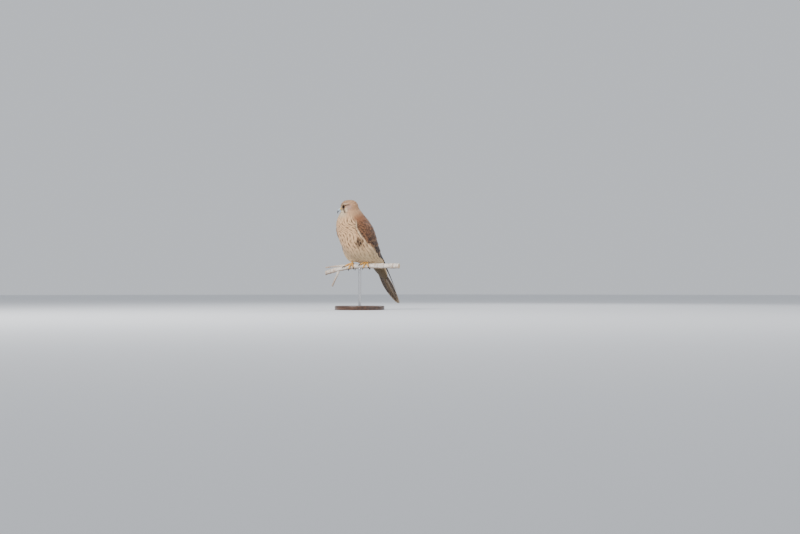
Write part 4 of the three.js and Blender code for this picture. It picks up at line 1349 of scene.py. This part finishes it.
def capped(rings, tone, places):
    """Rings with a sawn face at each end: the end ring drawn in four times, in the wood's colour."""
    shrink = np.array([0.75, 0.5, 0.25, 0.08])[:, None, None]

    def face(ring):
        return mix(ring.mean(0), ring, shrink)

    cut = np.broadcast_to(CUT_WOOD, (len(shrink),) + tone.shape[1:])
    inner = np.concatenate([face(rings[0])[::-1], rings, face(rings[-1])])
    year_rings = np.array([0.8, 1.1, 0.85, 1.05])[:, None, None]
    shade = np.concatenate([cut * year_rings, tone, cut * year_rings[::-1]])
    rows = len(shrink)
    spread = np.concatenate([places[:1].repeat(rows, 0), places, places[-1:].repeat(rows, 0)])
    points, quads, corners, colours = ring_part(inner, shade)
    return (points, quads, corners, colours), np.vstack([spread.reshape(-1, 3), spread[[0, -1]].mean(1)])


def branch_part():
    """The main length: low swellings, with ring-shaped scars where side shoots stood."""
    u, turn_ = mesh_of(np.linspace(PERCH_FROM, PERCH_TO, 320), full_turn(64))
    far = step(38, 52, np.abs(u))
    knot = 0.35 * np.sin(u * 0.21) + 0.25 * np.sin(u * 0.47 + 1)
    wave = far * (0.3 * np.sin(2 * turn_ + u * 0.05) + knot)
    scars = sum(hill(u + 1.5 * np.sin(turn_), at, 1.1) for at in (-88, 58, 76, 104))
    fine = 0.10 * np.sin(u * 2.3 + 2 * np.sin(turn_ * 2)) * np.sin(turn_ * 5 + u * 0.3)
    rings = off_bark(u, turn_, wave + 0.45 * scars * far + fine * far)
    # The underside is painted darker and browner, as shade.
    shade = step(-0.3, -0.95, np.cos(turn_))
    tone = mix(BARK_TOP, BARK_UNDERSIDE_SHADE, shade[..., None])
    tone = mix(tone, BARK_BROWN, (0.65 * np.clip(scars, 0, 1))[..., None])
    tone = mix(tone, BARK_BROWN, (0.35 * step(-60, -105, u))[..., None])
    places = np.stack([u, 14 * np.cos(turn_), 14 * np.sin(turn_)], -1)
    return capped(rings, tone, places)


def twig_part(path, radii):
    """A side twig along a smooth path, brown where it is thin."""
    share = np.linspace(0, 1, 80)
    line = along(np.array(path), share)
    f = full_turn(32)
    uneven = 1 + 0.03 * np.sin(share[:, None] * 60 + 3 * np.sin(f))
    radius = along(np.array(radii), share)[:, None] * uneven
    bud = 0.7 * hill(share[:, None], 0.62, 0.02) * (1 + np.cos(f))
    rings = path_tube(line, radius + bud, np.broadcast_to(Z + 0.3 * PERCH_FRONT, line.shape))
    tone = mix(BARK_TOP, BARK_BROWN, step(0.1, 1, share)[:, None, None] * 0.7)
    tone = np.broadcast_to(tone, rings.shape)
    from_fork = np.broadcast_to(share[:, None] * 60 + 300, radius.shape)
    places = np.stack([from_fork, radius * np.cos(f) * 2, radius * np.sin(f) * 2], -1)
    return capped(rings, tone, places)


def bark_spots(rows):
    """Points given as (u, degrees of turn, height off the bark)."""
    return [off_bark(np.array(u), np.array(math.radians(turn_)), np.array(off)) for u, turn_, off in rows]


TWIGS = [
    (bark_spots([(-34, 10, -3), (-52, 6, 1.5), (-78, 4, 5), (-106, 0, 10)]), [3.2, 2.6, 2.2, 1.9]),
    (bark_spots([(-64, 170, -4), (-68, 178, 6), (-76, 182, 20), (-87, 186, 38)]), [4.2, 3.2, 2.7, 2.4]),
]
wooden = [branch_part()] + [twig_part(path, radii) for path, radii in TWIGS]
branch = closed_piece(
    "birch_branch",
    [part for part, _ in wooden],
    ["perch_branch"],
    places=np.vstack([places for _, places in wooden]),
)
print("branch faces:", len(branch.data.polygons))

# %% [markdown]
# ## Feet
# Each toe is a tube round the branch, with scutes across its top and soft pads below. The claws
# are separate, of dark horn.

# %% Toes and claws
TOE_GAP = 0.3
FOOT_SPREAD = 23
TOES = {
    "left": {"inner": (62, -18), "middle": (118, -9), "outer": (104, 7), "hind": (-100, 4)},
    "right": {"inner": (104, 6), "middle": (118, -7), "outer": (58, -20), "hind": (-100, 5)},
}
FOOT_YELLOW, FOOT_DEEP, CLAW_BLACK = linear(242, 180, 88), linear(178, 118, 52), linear(26, 24, 24)


def toe_path(name, toe, k):
    """Middle line of a toe, k from the foot's hub to the claw; it arches a little off the bark."""
    reach, slide = TOES[name][toe]
    turn_ = np.radians(mix(0.2 * 14 * math.copysign(1, reach), reach, k))
    arch = 0.9 * np.sin(np.pi * np.minimum(1, 1.4 * k))
    return off_bark(SIDES[name] * FOOT_SPREAD + slide * k, turn_, 2.3 + TOE_GAP + arch)


def toe_part(name, toe):
    """Scutes are steps of 1.3 mm across the top; pads swell under the joints."""
    k = np.linspace(0, 1, 100)
    path = toe_path(name, toe, k)
    out = unit(path - perch_middle(SIDES[name] * FOOT_SPREAD + TOES[name][toe][1] * k))
    length_ = lengths(np.diff(path, axis=0)).sum()
    f = full_turn(28)
    top, under = step(-0.2, 0.5, np.cos(f)), step(0.1, 0.9, -np.cos(f))
    scute = (k * length_ / 1.3)[:, None] % 1
    plates = 0.17 * (scute**0.5 - 0.5) * top * step(0.02, 0.12, k)[:, None]
    pads = sum(0.3 * hill(k, at, 0.06) for at in (0.3, 0.62, 0.92))[:, None] * under
    grain = 0.07 * np.sin(k[:, None] * 160 + f * 2) * np.sin(f * 7) * (1 - top)
    radius = along(np.array([2.5, 2.35, 2.15, 2.2, 1.75]), k)[:, None] + plates + pads * 0.6 + grain
    radius = radius * (1 - 0.3 * step(0.96, 1, k))[:, None]
    # The lines between scutes are deeper in colour, and the underside against the bark is painted deeper as
    # shade.
    scute_lines_and_shade = np.maximum(step(0.2, 0.0, scute) * top, 0.6 * under)
    tone = mix(FOOT_YELLOW, FOOT_DEEP, scute_lines_and_shade[..., None])
    return ring_part(path_tube(path, radius, out), tone)


def hub_part(name):
    """The ball of the foot that the toes spring from."""
    a, b = ball_angles(40, 48)
    cells = np.sin(a * 22) * np.sin(b * 13)
    radius = 4.0 + 0.08 * cells
    way = np.stack([np.sin(a) * np.cos(b), np.sin(a) * np.sin(b), np.cos(a)], -1)
    points = toe_path(name, "middle", np.array(0.0)) + way * radius[..., None] * [1, 1, 0.85]
    return ring_part(points, mix(FOOT_YELLOW, FOOT_DEEP, (0.5 * step(0, -1, cells))[..., None]))


def tarsus_part(name):
    """The short bare shank, with plates across its front."""
    side = SIDES[name]
    foot = ACROSS_PERCH * side * FOOT_SPREAD
    k = np.linspace(0, 1, 60)
    path = along(np.array([foot + [0, 0, 1.5], foot + [side * 0.4, 1.5, 10], foot + [side, 3.5, 19]]), k)
    f = full_turn(28)
    scute = (k * 9)[:, None] % 1
    front = step(-0.2, 0.6, np.cos(f))
    radius = along(np.array([3.0, 2.7, 2.8]), k)[:, None] + 0.18 * (scute**0.5 - 0.5) * front
    tone = mix(FOOT_YELLOW, FOOT_DEEP, (step(0.2, 0, scute) * front)[..., None])
    return ring_part(path_tube(path, radius, np.broadcast_to(-Y, path.shape)), tone)


def claw_part(name, toe):
    """A tapering hook from the toe's end, curved in towards the branch."""
    end, before_end = toe_path(name, toe, np.array([1.0, 0.93]))
    ahead = unit(end - before_end)
    inward = perch_middle(np.array(SIDES[name] * FOOT_SPREAD + TOES[name][toe][1])) - end
    inward = unit(inward - ahead * (inward @ ahead))
    k = np.linspace(0, 1, 48)
    curve = 3.4 * k * k - 1.2 * np.sin(np.pi * k)
    path = end + ahead * (TOE_GAP + 10.5 * k)[:, None] + inward * curve[:, None]
    f = full_turn(20)
    radius = along(np.array([1.6, 1.5, 1.15, 0.7, 0.12]), k)[:, None] * (1 - 0.12 * hill(f, np.pi, 0.5))
    tone = mix(linear(70, 64, 60), CLAW_BLACK, step(0, 0.3, k)[:, None, None])
    return ring_part(path_tube(path, radius, np.broadcast_to(-inward, path.shape)), tone)


for name, toes in TOES.items():
    parts = [toe_part(name, toe) for toe in toes] + [hub_part(name), tarsus_part(name)]
    closed_piece(f"scaled_foot_{name}", parts, [f"foot_{name}"])
    for toe in toes:
        closed_piece(f"horn_{name}_{toe}", [claw_part(name, toe)], [f"claw_{name}_{toe}"])
print("toes and claws on both feet")

# %% Stand
BASE_RADIUS, BASE_THICK, ROD_RADIUS, ROD_SOCKET = 72, 12, 4, 8


def lathe(outline, columns):
    """Rings of an outline of (radius, height) turned about the upright axis through the origin."""
    b = full_turn(columns)
    radius, height = np.array(outline, float).T[..., None]
    return np.stack([radius * np.cos(b), radius * np.sin(b), height + 0 * b], -1)


def rounded(corner, size, start, steps=6):
    """A quarter circle of points of an outline round a corner, from the angle start on."""
    turn_ = np.radians(start + np.linspace(0, 90, steps))
    return [(corner[0] + size * math.cos(a), corner[1] + size * math.sin(a)) for a in turn_]


floor_z = -PERCH_TOP
outline = [(0.5, floor_z), (BASE_RADIUS - 8, floor_z)]
outline += rounded((BASE_RADIUS - 1, floor_z + 1), 1, -90)
outline += rounded((BASE_RADIUS - 3, floor_z + BASE_THICK - 3), 3, 0, 10)
outline += [(r, floor_z + BASE_THICK) for r in (60, 45, 30, 15, 7, ROD_RADIUS + 0.6)]
outline += [(ROD_RADIUS + 0.3, floor_z + BASE_THICK - depth) for depth in (0.4, ROD_SOCKET)]
outline += [(0.5, floor_z + BASE_THICK - ROD_SOCKET)]
base_part = ring_part(lathe(outline, 144), linear(94, 62, 42))
closed_piece("turned_base", [base_part], ["stand_base"])
rod_low, rod_high = floor_z + BASE_THICK - ROD_SOCKET + TOE_GAP, -2 * perch_radius(0) - TOE_GAP
rod_outline = [(ROD_RADIUS - 0.4, rod_low), (ROD_RADIUS, rod_low + 0.4)]
rod_outline += [(ROD_RADIUS, z) for z in np.linspace(rod_low + 2, rod_high - 2, 24)]
rod_outline += [(ROD_RADIUS, rod_high + 0.6), (ROD_RADIUS - 0.3, rod_high + 0.9)]
rod_part = ring_part(lathe(rod_outline, 64), linear(200, 200, 202))
closed_piece("steel_rod", [rod_part], ["stand_rod"])
print("stand", BASE_RADIUS * 2, "mm across, rod", round(float(rod_high - rod_low)), "mm")

# %% [markdown]
# ## Materials
# Every piece carries its ground colour as an attribute, worked out above. The materials add what is
# finer than the points: barbs, bars and pale edges on vanes, cells on bare skin, streaks in horn,
# the cross marks of birch bark, and grain in wood. What several materials share is a node group.

# %% Node helpers
def set_inputs(node, values):
    """Gives a node's inputs numbers or colours, or links them from other nodes' outputs."""
    for key, value in values.items():
        if isinstance(value, bpy.types.NodeSocket):
            node.id_data.links.new(value, node.inputs[key])
        else:
            node.inputs[key].default_value = value
    return node


def add(tree, kind, values=None, **settings):
    """A new node of that kind in a tree, with its settings and its inputs."""
    node = tree.nodes.new(kind)
    for key, value in settings.items():
        setattr(node, key, value)
    return set_inputs(node, values or {})


def join(kind, values, **settings):
    """A new node in the tree that the first socket among its inputs' values belongs to."""
    sockets = (value for value in values.values() if isinstance(value, bpy.types.NodeSocket))
    return add(next(sockets).id_data, kind, values, **settings)


def calc(operation, a, b=0.0, c=0.0):
    """The output of a math node."""
    return join("ShaderNodeMath", {0: a, 1: b, 2: c}, operation=operation).outputs[0]


def times(a, b):
    """a times b."""
    return calc("MULTIPLY", a, b)


def minus(a, b):
    """a less b."""
    return calc("SUBTRACT", a, b)


def times_plus(a, b, c):
    """a times b, plus c."""
    return calc("MULTIPLY_ADD", a, b, c)


def ramp(value, low, high, out_low=0.0, out_high=1.0):
    """A smooth rise of a value from low to high, as a socket."""
    values = {"Value": value, "From Min": low, "From Max": high, "To Min": out_low, "To Max": out_high}
    return join("ShaderNodeMapRange", values, interpolation_type="SMOOTHSTEP").outputs["Result"]


def blend_colours(share, a, b):
    """The output of a colour mix: a where share is 0 and b where it is 1."""
    return join("ShaderNodeMix", {0: share, 6: a, 7: b}, data_type="RGBA").outputs[2]


def brightened(colour, value, middle, amount):
    """A colour times 1 + (value - middle) amount."""
    share = times_plus(minus(value, middle), amount, 1.0)
    return join("ShaderNodeVectorMath", {0: colour, "Scale": share}, operation="SCALE").outputs["Vector"]


def stretched(vector, scale):
    """A vector multiplied along its three axes."""
    return join("ShaderNodeVectorMath", {0: vector, 1: scale}, operation="MULTIPLY").outputs["Vector"]


def noise(vector, scale, detail=3.0, roughness=0.55):
    """The value of a noise texture."""
    values = {"Vector": vector, "Scale": scale, "Detail": detail, "Roughness": roughness}
    return join("ShaderNodeTexNoise", values).outputs["Fac"]


def new_group(name, inputs):
    """A node group that gives a colour and a height: its tree, its inputs and its output node."""
    tree = bpy.data.node_groups.new(name, "ShaderNodeTree")
    for label, (kind, value) in inputs.items():
        socket = tree.interface.new_socket(label, in_out="INPUT", socket_type=f"NodeSocket{kind}")
        if value is not None:
            socket.default_value = value
    for label, kind in (("Colour", "Color"), ("Height", "Float")):
        tree.interface.new_socket(label, in_out="OUTPUT", socket_type=f"NodeSocket{kind}")
    return tree, tree.nodes.new("NodeGroupInput").outputs, tree.nodes.new("NodeGroupOutput")


def place_group(group, values):
    """The outputs of a group placed among other nodes, with its own values."""
    return join("ShaderNodeGroup", values, node_tree=group).outputs


def rgba(colour):
    """A linear colour with full alpha, as a plain list."""
    return [*map(float, colour), 1.0]


def material(name, shader_values):
    """A material, its shader with the plain values set, and the socket of the ground colour."""
    made = bpy.data.materials.new(name)
    made.use_nodes = True
    shader = set_inputs(made.node_tree.nodes["Principled BSDF"], shader_values)
    ground = add(made.node_tree, "ShaderNodeAttribute", attribute_name="ground")
    return made, shader, ground.outputs["Color"]


def surface(shader, colour, height=None, depth=0.0):
    """Gives a shader its colour, and a relief from a height in shares of a depth in metres."""
    set_inputs(shader, {"Base Color": colour})
    if height is not None:
        relief = join("ShaderNodeBump", {"Height": height, "Distance": depth, "Strength": 1.0})
        set_inputs(shader, {"Normal": relief.outputs["Normal"]})


# %% Group: vane markings
vane_group, given, out = new_group(
    "vane markings",
    {
        "Ground": ("Color", (0.5, 0.4, 0.3, 1)),
        "Dark": ("Color", rgba(DARK)),
        "Pale": ("Color", rgba(CREAM)),
        "Marks": ("Vector", None),
        "Edge": ("Float", 0.0),
        "Bar Place": ("Float", BAR_PLACE),
        "Vane": ("Vector", None),
        "Seed": ("Vector", None),
        "Barbs": ("Float", 0.2),
    },
)
vane = join("ShaderNodeSeparateXYZ", {0: given["Vane"]}).outputs
marks = join("ShaderNodeSeparateXYZ", {0: given["Marks"]}).outputs
u = calc("ABSOLUTE", times_plus(vane["X"], 2.0, -1.0))
k = vane["Y"]
off_middle = calc("DIVIDE", minus(k, 0.6), 0.42)
drop = minus(1.0, times(off_middle, off_middle))
beyond = minus(u, times(marks["X"], drop))
streak = times(ramp(beyond, -0.07, 0.07, 1.0, 0.0), ramp(marks["X"], 0.0, 0.04))
past_bar = minus(k, given["Bar Place"])
bent = times_plus(times(u, u), 0.1, past_bar)
turns = times(times(bent, marks["Z"]), MOST_BARS * 2 * math.pi)
bars = times(ramp(calc("COSINE", turns), 0.2, 0.6), marks["Y"])
rim = calc("MAXIMUM", ramp(u, 0.74, 0.98), ramp(k, 0.91, 0.99))
slant = times_plus(u, -0.45, k)
barb_place = join("ShaderNodeCombineXYZ", {0: times(slant, 34.0), 1: u}).outputs[0]
seeded = {0: barb_place, 1: given["Seed"]}
barb = noise(join("ShaderNodeVectorMath", seeded, operation="ADD").outputs[0], 1.0, 2.0)
shaft = ramp(u, 0.015, 0.07, 1.0, 0.0)
colour = blend_colours(times(rim, given["Edge"]), given["Ground"], given["Pale"])
inside = times_plus(rim, -0.8, 1.0)
dark_share = calc("MAXIMUM", streak, times(bars, inside))
colour = blend_colours(times(dark_share, 0.92), colour, given["Dark"])
colour = blend_colours(times(shaft, 0.2), colour, given["Dark"])
amount = times(given["Barbs"], 2.0)
colour = brightened(colour, barb, 0.5, amount)
set_inputs(out, {"Colour": colour, "Height": times_plus(shaft, 0.5, barb)})

# %% Group: mottle
mottle_group, given, out = new_group(
    "mottle",
    {
        "Ground": ("Color", None),
        "Place": ("Vector", None),
        "Scale": ("Float", 100.0),
        "Amount": ("Float", 0.2),
    },
)
value = noise(given["Place"], given["Scale"], 5.0, 0.6)
set_inputs(out, {"Colour": brightened(given["Ground"], value, 0.5, given["Amount"]), "Height": value})

# %% Group: cells of bare skin
cell_group, given, out = new_group(
    "skin cells",
    {
        "Ground": ("Color", None),
        "Place": ("Vector", None),
        "Scale": ("Float", 900.0),
        "Depth": ("Float", 0.4),
    },
)
values = {"Vector": given["Place"], "Scale": given["Scale"]}
cells = join("ShaderNodeTexVoronoi", values, feature="DISTANCE_TO_EDGE")
raised = ramp(cells.outputs["Distance"], 0.0, 0.25)
set_inputs(out, {"Colour": brightened(given["Ground"], raised, 1.0, given["Depth"]), "Height": raised})
print("node groups:", [group.name for group in bpy.data.node_groups])


# %% Plumage, flight feathers and the skin below
def object_place(shader):
    """The object's own coordinates, in the shader's tree."""
    return add(shader.id_data, "ShaderNodeTexCoord").outputs["Object"]


def mottled(ground, place, scale, amount):
    """The mottle group, placed over a ground colour."""
    values = {"Ground": ground, "Place": place, "Scale": scale, "Amount": amount}
    return place_group(mottle_group, values)


def mottled_material(name, values, scale, amount, depth=None, stretch=None):
    """A mottled ground colour, with the same mottle as relief where a depth is given."""
    made, shader, ground = material(name, values)
    place = object_place(shader)
    if stretch:
        place = stretched(place, stretch)
    tint = mottled(ground, place, scale, amount)
    surface(shader, tint["Colour"], tint["Height"] if depth else None, depth)
    return made


def vane_material(name, roughness, sheen, barbs, depth, pale, dark=DARK):
    """Feathers: the ground colour with the vane's markings over it."""
    gloss = {"Roughness": roughness, "Specular IOR Level": 0.3}
    made, shader, ground = material(name, {**gloss, "Sheen Weight": sheen, "Sheen Roughness": 0.4})
    marks = add(shader.id_data, "ShaderNodeAttribute", attribute_name="marks")
    own = add(shader.id_data, "ShaderNodeUVMap", uv_map="Vane")
    place = object_place(shader)
    values = {
        "Ground": ground,
        "Dark": rgba(dark),
        "Pale": rgba(pale),
        "Marks": marks.outputs["Vector"],
        "Edge": marks.outputs["Alpha"],
        "Bar Place": ground.node.outputs["Alpha"],
        "Vane": own.outputs["UV"],
        "Seed": stretched(place, (260, 260, 260)),
        "Barbs": barbs,
    }
    sockets = place_group(vane_group, values)
    tint = mottled(sockets["Colour"], place, 70.0, 0.22)
    surface(shader, tint["Colour"], sockets["Height"], depth)
    return made


plumage_finish = vane_material("plumage", 0.85, 0.25, 0.2, 0.00012, CREAM)
mantle_finish = vane_material("mantle plumage", 0.8, 0.2, 0.2, 0.00014, mix(CREAM, BUFF, 0.7))
FLIGHT_BAR, TAIL_BAR, TAIL_EDGE = linear(36, 29, 26), linear(46, 39, 34), 0.8 * mix(CREAM, BUFF, 0.4)
flight_finish = vane_material("flight feather", 0.62, 0.1, 0.16, 0.00014, 0.7 * BUFF, FLIGHT_BAR)
tail_finish = vane_material("tail feather", 0.62, 0.1, 0.16, 0.00014, TAIL_EDGE, TAIL_BAR)
skin_finish = mottled_material("skin", {"Roughness": 0.9}, 1500.0, 0.5, 0.0003)

# %% Bare skin, horn and eyes
scaly = {"Roughness": 0.5, "Coat Weight": 0.12, "Subsurface Weight": 0.08}
scaly_finish, shader, ground = material("scaly skin", scaly)
values = {"Ground": ground, "Place": object_place(shader), "Scale": 1500.0, "Depth": 0.3}
sockets = place_group(cell_group, values)
tint = mottled(sockets["Colour"], object_place(shader), 160.0, 0.4)
surface(shader, tint["Colour"], sockets["Height"], 0.00008)

waxy = {"Roughness": 0.42, "Coat Weight": 0.2}
waxy_finish = mottled_material("waxy skin", waxy, 420.0, 0.35, 0.00015)

HORN_GLOSS = {"Coat Weight": 0.3, "Coat Roughness": 0.25}
HORN_STREAKS = (2.2, 2.2, 0.6)  # the mottle drawn out along the bird's height
bill_values, claw_values = ({"Roughness": roughness, **HORN_GLOSS} for roughness in (0.38, 0.3))
bill_finish = mottled_material("bill horn", bill_values, 420.0, 0.35, 0.00008, HORN_STREAKS)
claw_finish = mottled_material("claw horn", claw_values, 420.0, 0.8, 0.00008, HORN_STREAKS)

wet = {"Roughness": 0.05, "IOR": 1.36, "Specular IOR Level": 0.15}
eye_finish = mottled_material("eye", wet, 900.0, 0.6)

# %% Birch bark
bark_finish, shader, ground = material("birch bark", {"Roughness": 0.75})
place = add(shader.id_data, "ShaderNodeAttribute", attribute_name="place").outputs["Vector"]
lenticels = noise(stretched(place, (1.1, 0.16, 0.16)), 1.0, 3.0, 0.5)
dashes = ramp(lenticels, 0.60, 0.67)
patches = noise(stretched(place, (0.07, 0.09, 0.09)), 1.0, 4.0, 0.6)
peel = noise(stretched(place, (0.35, 0.05, 0.05)), 1.0, 2.0, 0.4)
colour = blend_colours(ramp(patches, 0.45, 0.75), ground, rgba(linear(206, 180, 156)))
colour = blend_colours(times(dashes, 0.8), colour, rgba(linear(92, 70, 56)))
torn = times(ramp(peel, 0.56, 0.6), ramp(peel, 0.60, 0.66, 1.0, 0.0))
colour = blend_colours(times(torn, 0.5), colour, rgba(linear(186, 140, 108)))
tint = mottled(colour, place, 1.4, 0.3)
lifted = times(ramp(peel, 0.56, 0.6), 0.5)
relief = times_plus(dashes, 0.6, lifted)
surface(shader, tint["Colour"], times_plus(tint["Height"], 0.35, relief), 0.0004)

# %% Wood and steel of the stand
varnish = {"Roughness": 0.42, "Coat Weight": 0.35, "Coat Roughness": 0.2}
wood_finish, shader, ground = material("stained wood", varnish)
grain = noise(stretched(object_place(shader), (4, 46, 46)), 3.0, 6.0, 0.65)
pores = ramp(noise(stretched(object_place(shader), (30, 700, 700)), 1.0, 2.0), 0.62, 0.7)
colour = blend_colours(ramp(grain, 0.35, 0.68), ground, rgba(linear(52, 32, 22)))
colour = blend_colours(times(pores, 0.6), colour, rgba(linear(30, 18, 12)))
surface(shader, colour, times_plus(pores, -0.6, grain), 0.00015)

steel_finish, shader, ground = material("brushed steel", {"Metallic": 1.0})
tint = mottled(ground, stretched(object_place(shader), (1, 1, 14)), 260.0, 0.25)
set_inputs(shader, {"Roughness": ramp(tint["Height"], 0.3, 0.7, 0.24, 0.42)})
surface(shader, tint["Colour"], tint["Height"], 0.00004)

# %% Materials onto pieces
FINISHES = {
    "skin": skin_finish,
    "coat": plumage_finish,
    "flank": plumage_finish,
    "mantle": mantle_finish,
    "wing": flight_finish,
    "tail": tail_finish,
    "eye": eye_finish,
    "lids": waxy_finish,
    "cere": waxy_finish,
    "gape": waxy_finish,
    "bill": bill_finish,
    "scaled": scaly_finish,
    "horn": claw_finish,
    "birch": bark_finish,
    "turned": wood_finish,
    "steel": steel_finish,
}
for piece in bpy.context.scene.objects:
    start = piece.name.split("_")[0]
    if piece.type == "MESH" and start in FINISHES and piece.name not in frame["nodes"]:
        piece.data.materials.append(FINISHES[start])
        print(piece.name, "gets", FINISHES[start].name)

# %% [markdown]
# ## Floor, light and camera
# A plain pale floor, soft studio light from the photograph's sunny side, and a camera at the
# photograph's side of the bird and framing.

# %% Floor and light
SIDE_VIEW = math.radians(50)  # how far round from the bird's front the camera stands
RIGHT = Vector((math.cos(SIDE_VIEW), math.sin(SIDE_VIEW), 0))
TOWARD = Vector((math.sin(SIDE_VIEW), -math.cos(SIDE_VIEW), 0))
UP = Vector((0, 0, 1))

floor_mesh = bpy.data.meshes.new("floor")
floor_mesh.from_pydata([(-20, -20, 0), (20, -20, 0), (20, 20, 0), (-20, 20, 0)], [], [(0, 1, 2, 3)])
floor = place_object("floor", floor_mesh)
paint = {"Roughness": 0.9, "Base Color": (0.74, 0.75, 0.77, 1)}
floor_mesh.materials.append(material("pale floor", paint)[0])

world = bpy.data.worlds.new("studio")
bpy.context.scene.world = world
world.use_nodes = True
set_inputs(world.node_tree.nodes["Background"], {"Color": (0.86, 0.9, 0.96, 1), "Strength": 0.75})


def aim(thing, target):
    """Turns a lamp or camera to look at a point."""
    thing.rotation_euler = (target - thing.location).to_track_quat("-Z", "Y").to_euler()


def soft_lamp(name, place, power, size):
    """A square lamp that looks at the bird."""
    lamp = bpy.data.lights.new(name, "AREA")
    lamp.energy = power
    lamp.size = size
    thing = place_object(name, lamp)
    thing.location = place
    aim(thing, UP * 0.2)


soft_lamp("key", TOWARD * 1.3 - RIGHT * 1.1 + UP * 1.6, 52, 0.8)
soft_lamp("fill", TOWARD * 1.4 + RIGHT * 1.7 + UP * 0.7, 10, 1.6)
soft_lamp("rim", TOWARD * -1.3 + RIGHT * 0.9 + UP * 1.5, 14, 0.9)

# %% Camera
DISTANCE = 3.222  # metres, where 2.9 mm of the bird fill one pixel of an 800 pixel wide picture
CAMERA_HEIGHT = 0.05
LOOK_AT = RIGHT * 0.117 + UP * 0.1244
camera_data = bpy.data.cameras.new("camera")
camera_data.lens = 50
camera_data.sensor_width = 36
camera = place_object("camera", camera_data)
bpy.context.scene.camera = camera
camera.location = TOWARD * DISTANCE + UP * CAMERA_HEIGHT
aim(camera, LOOK_AT)
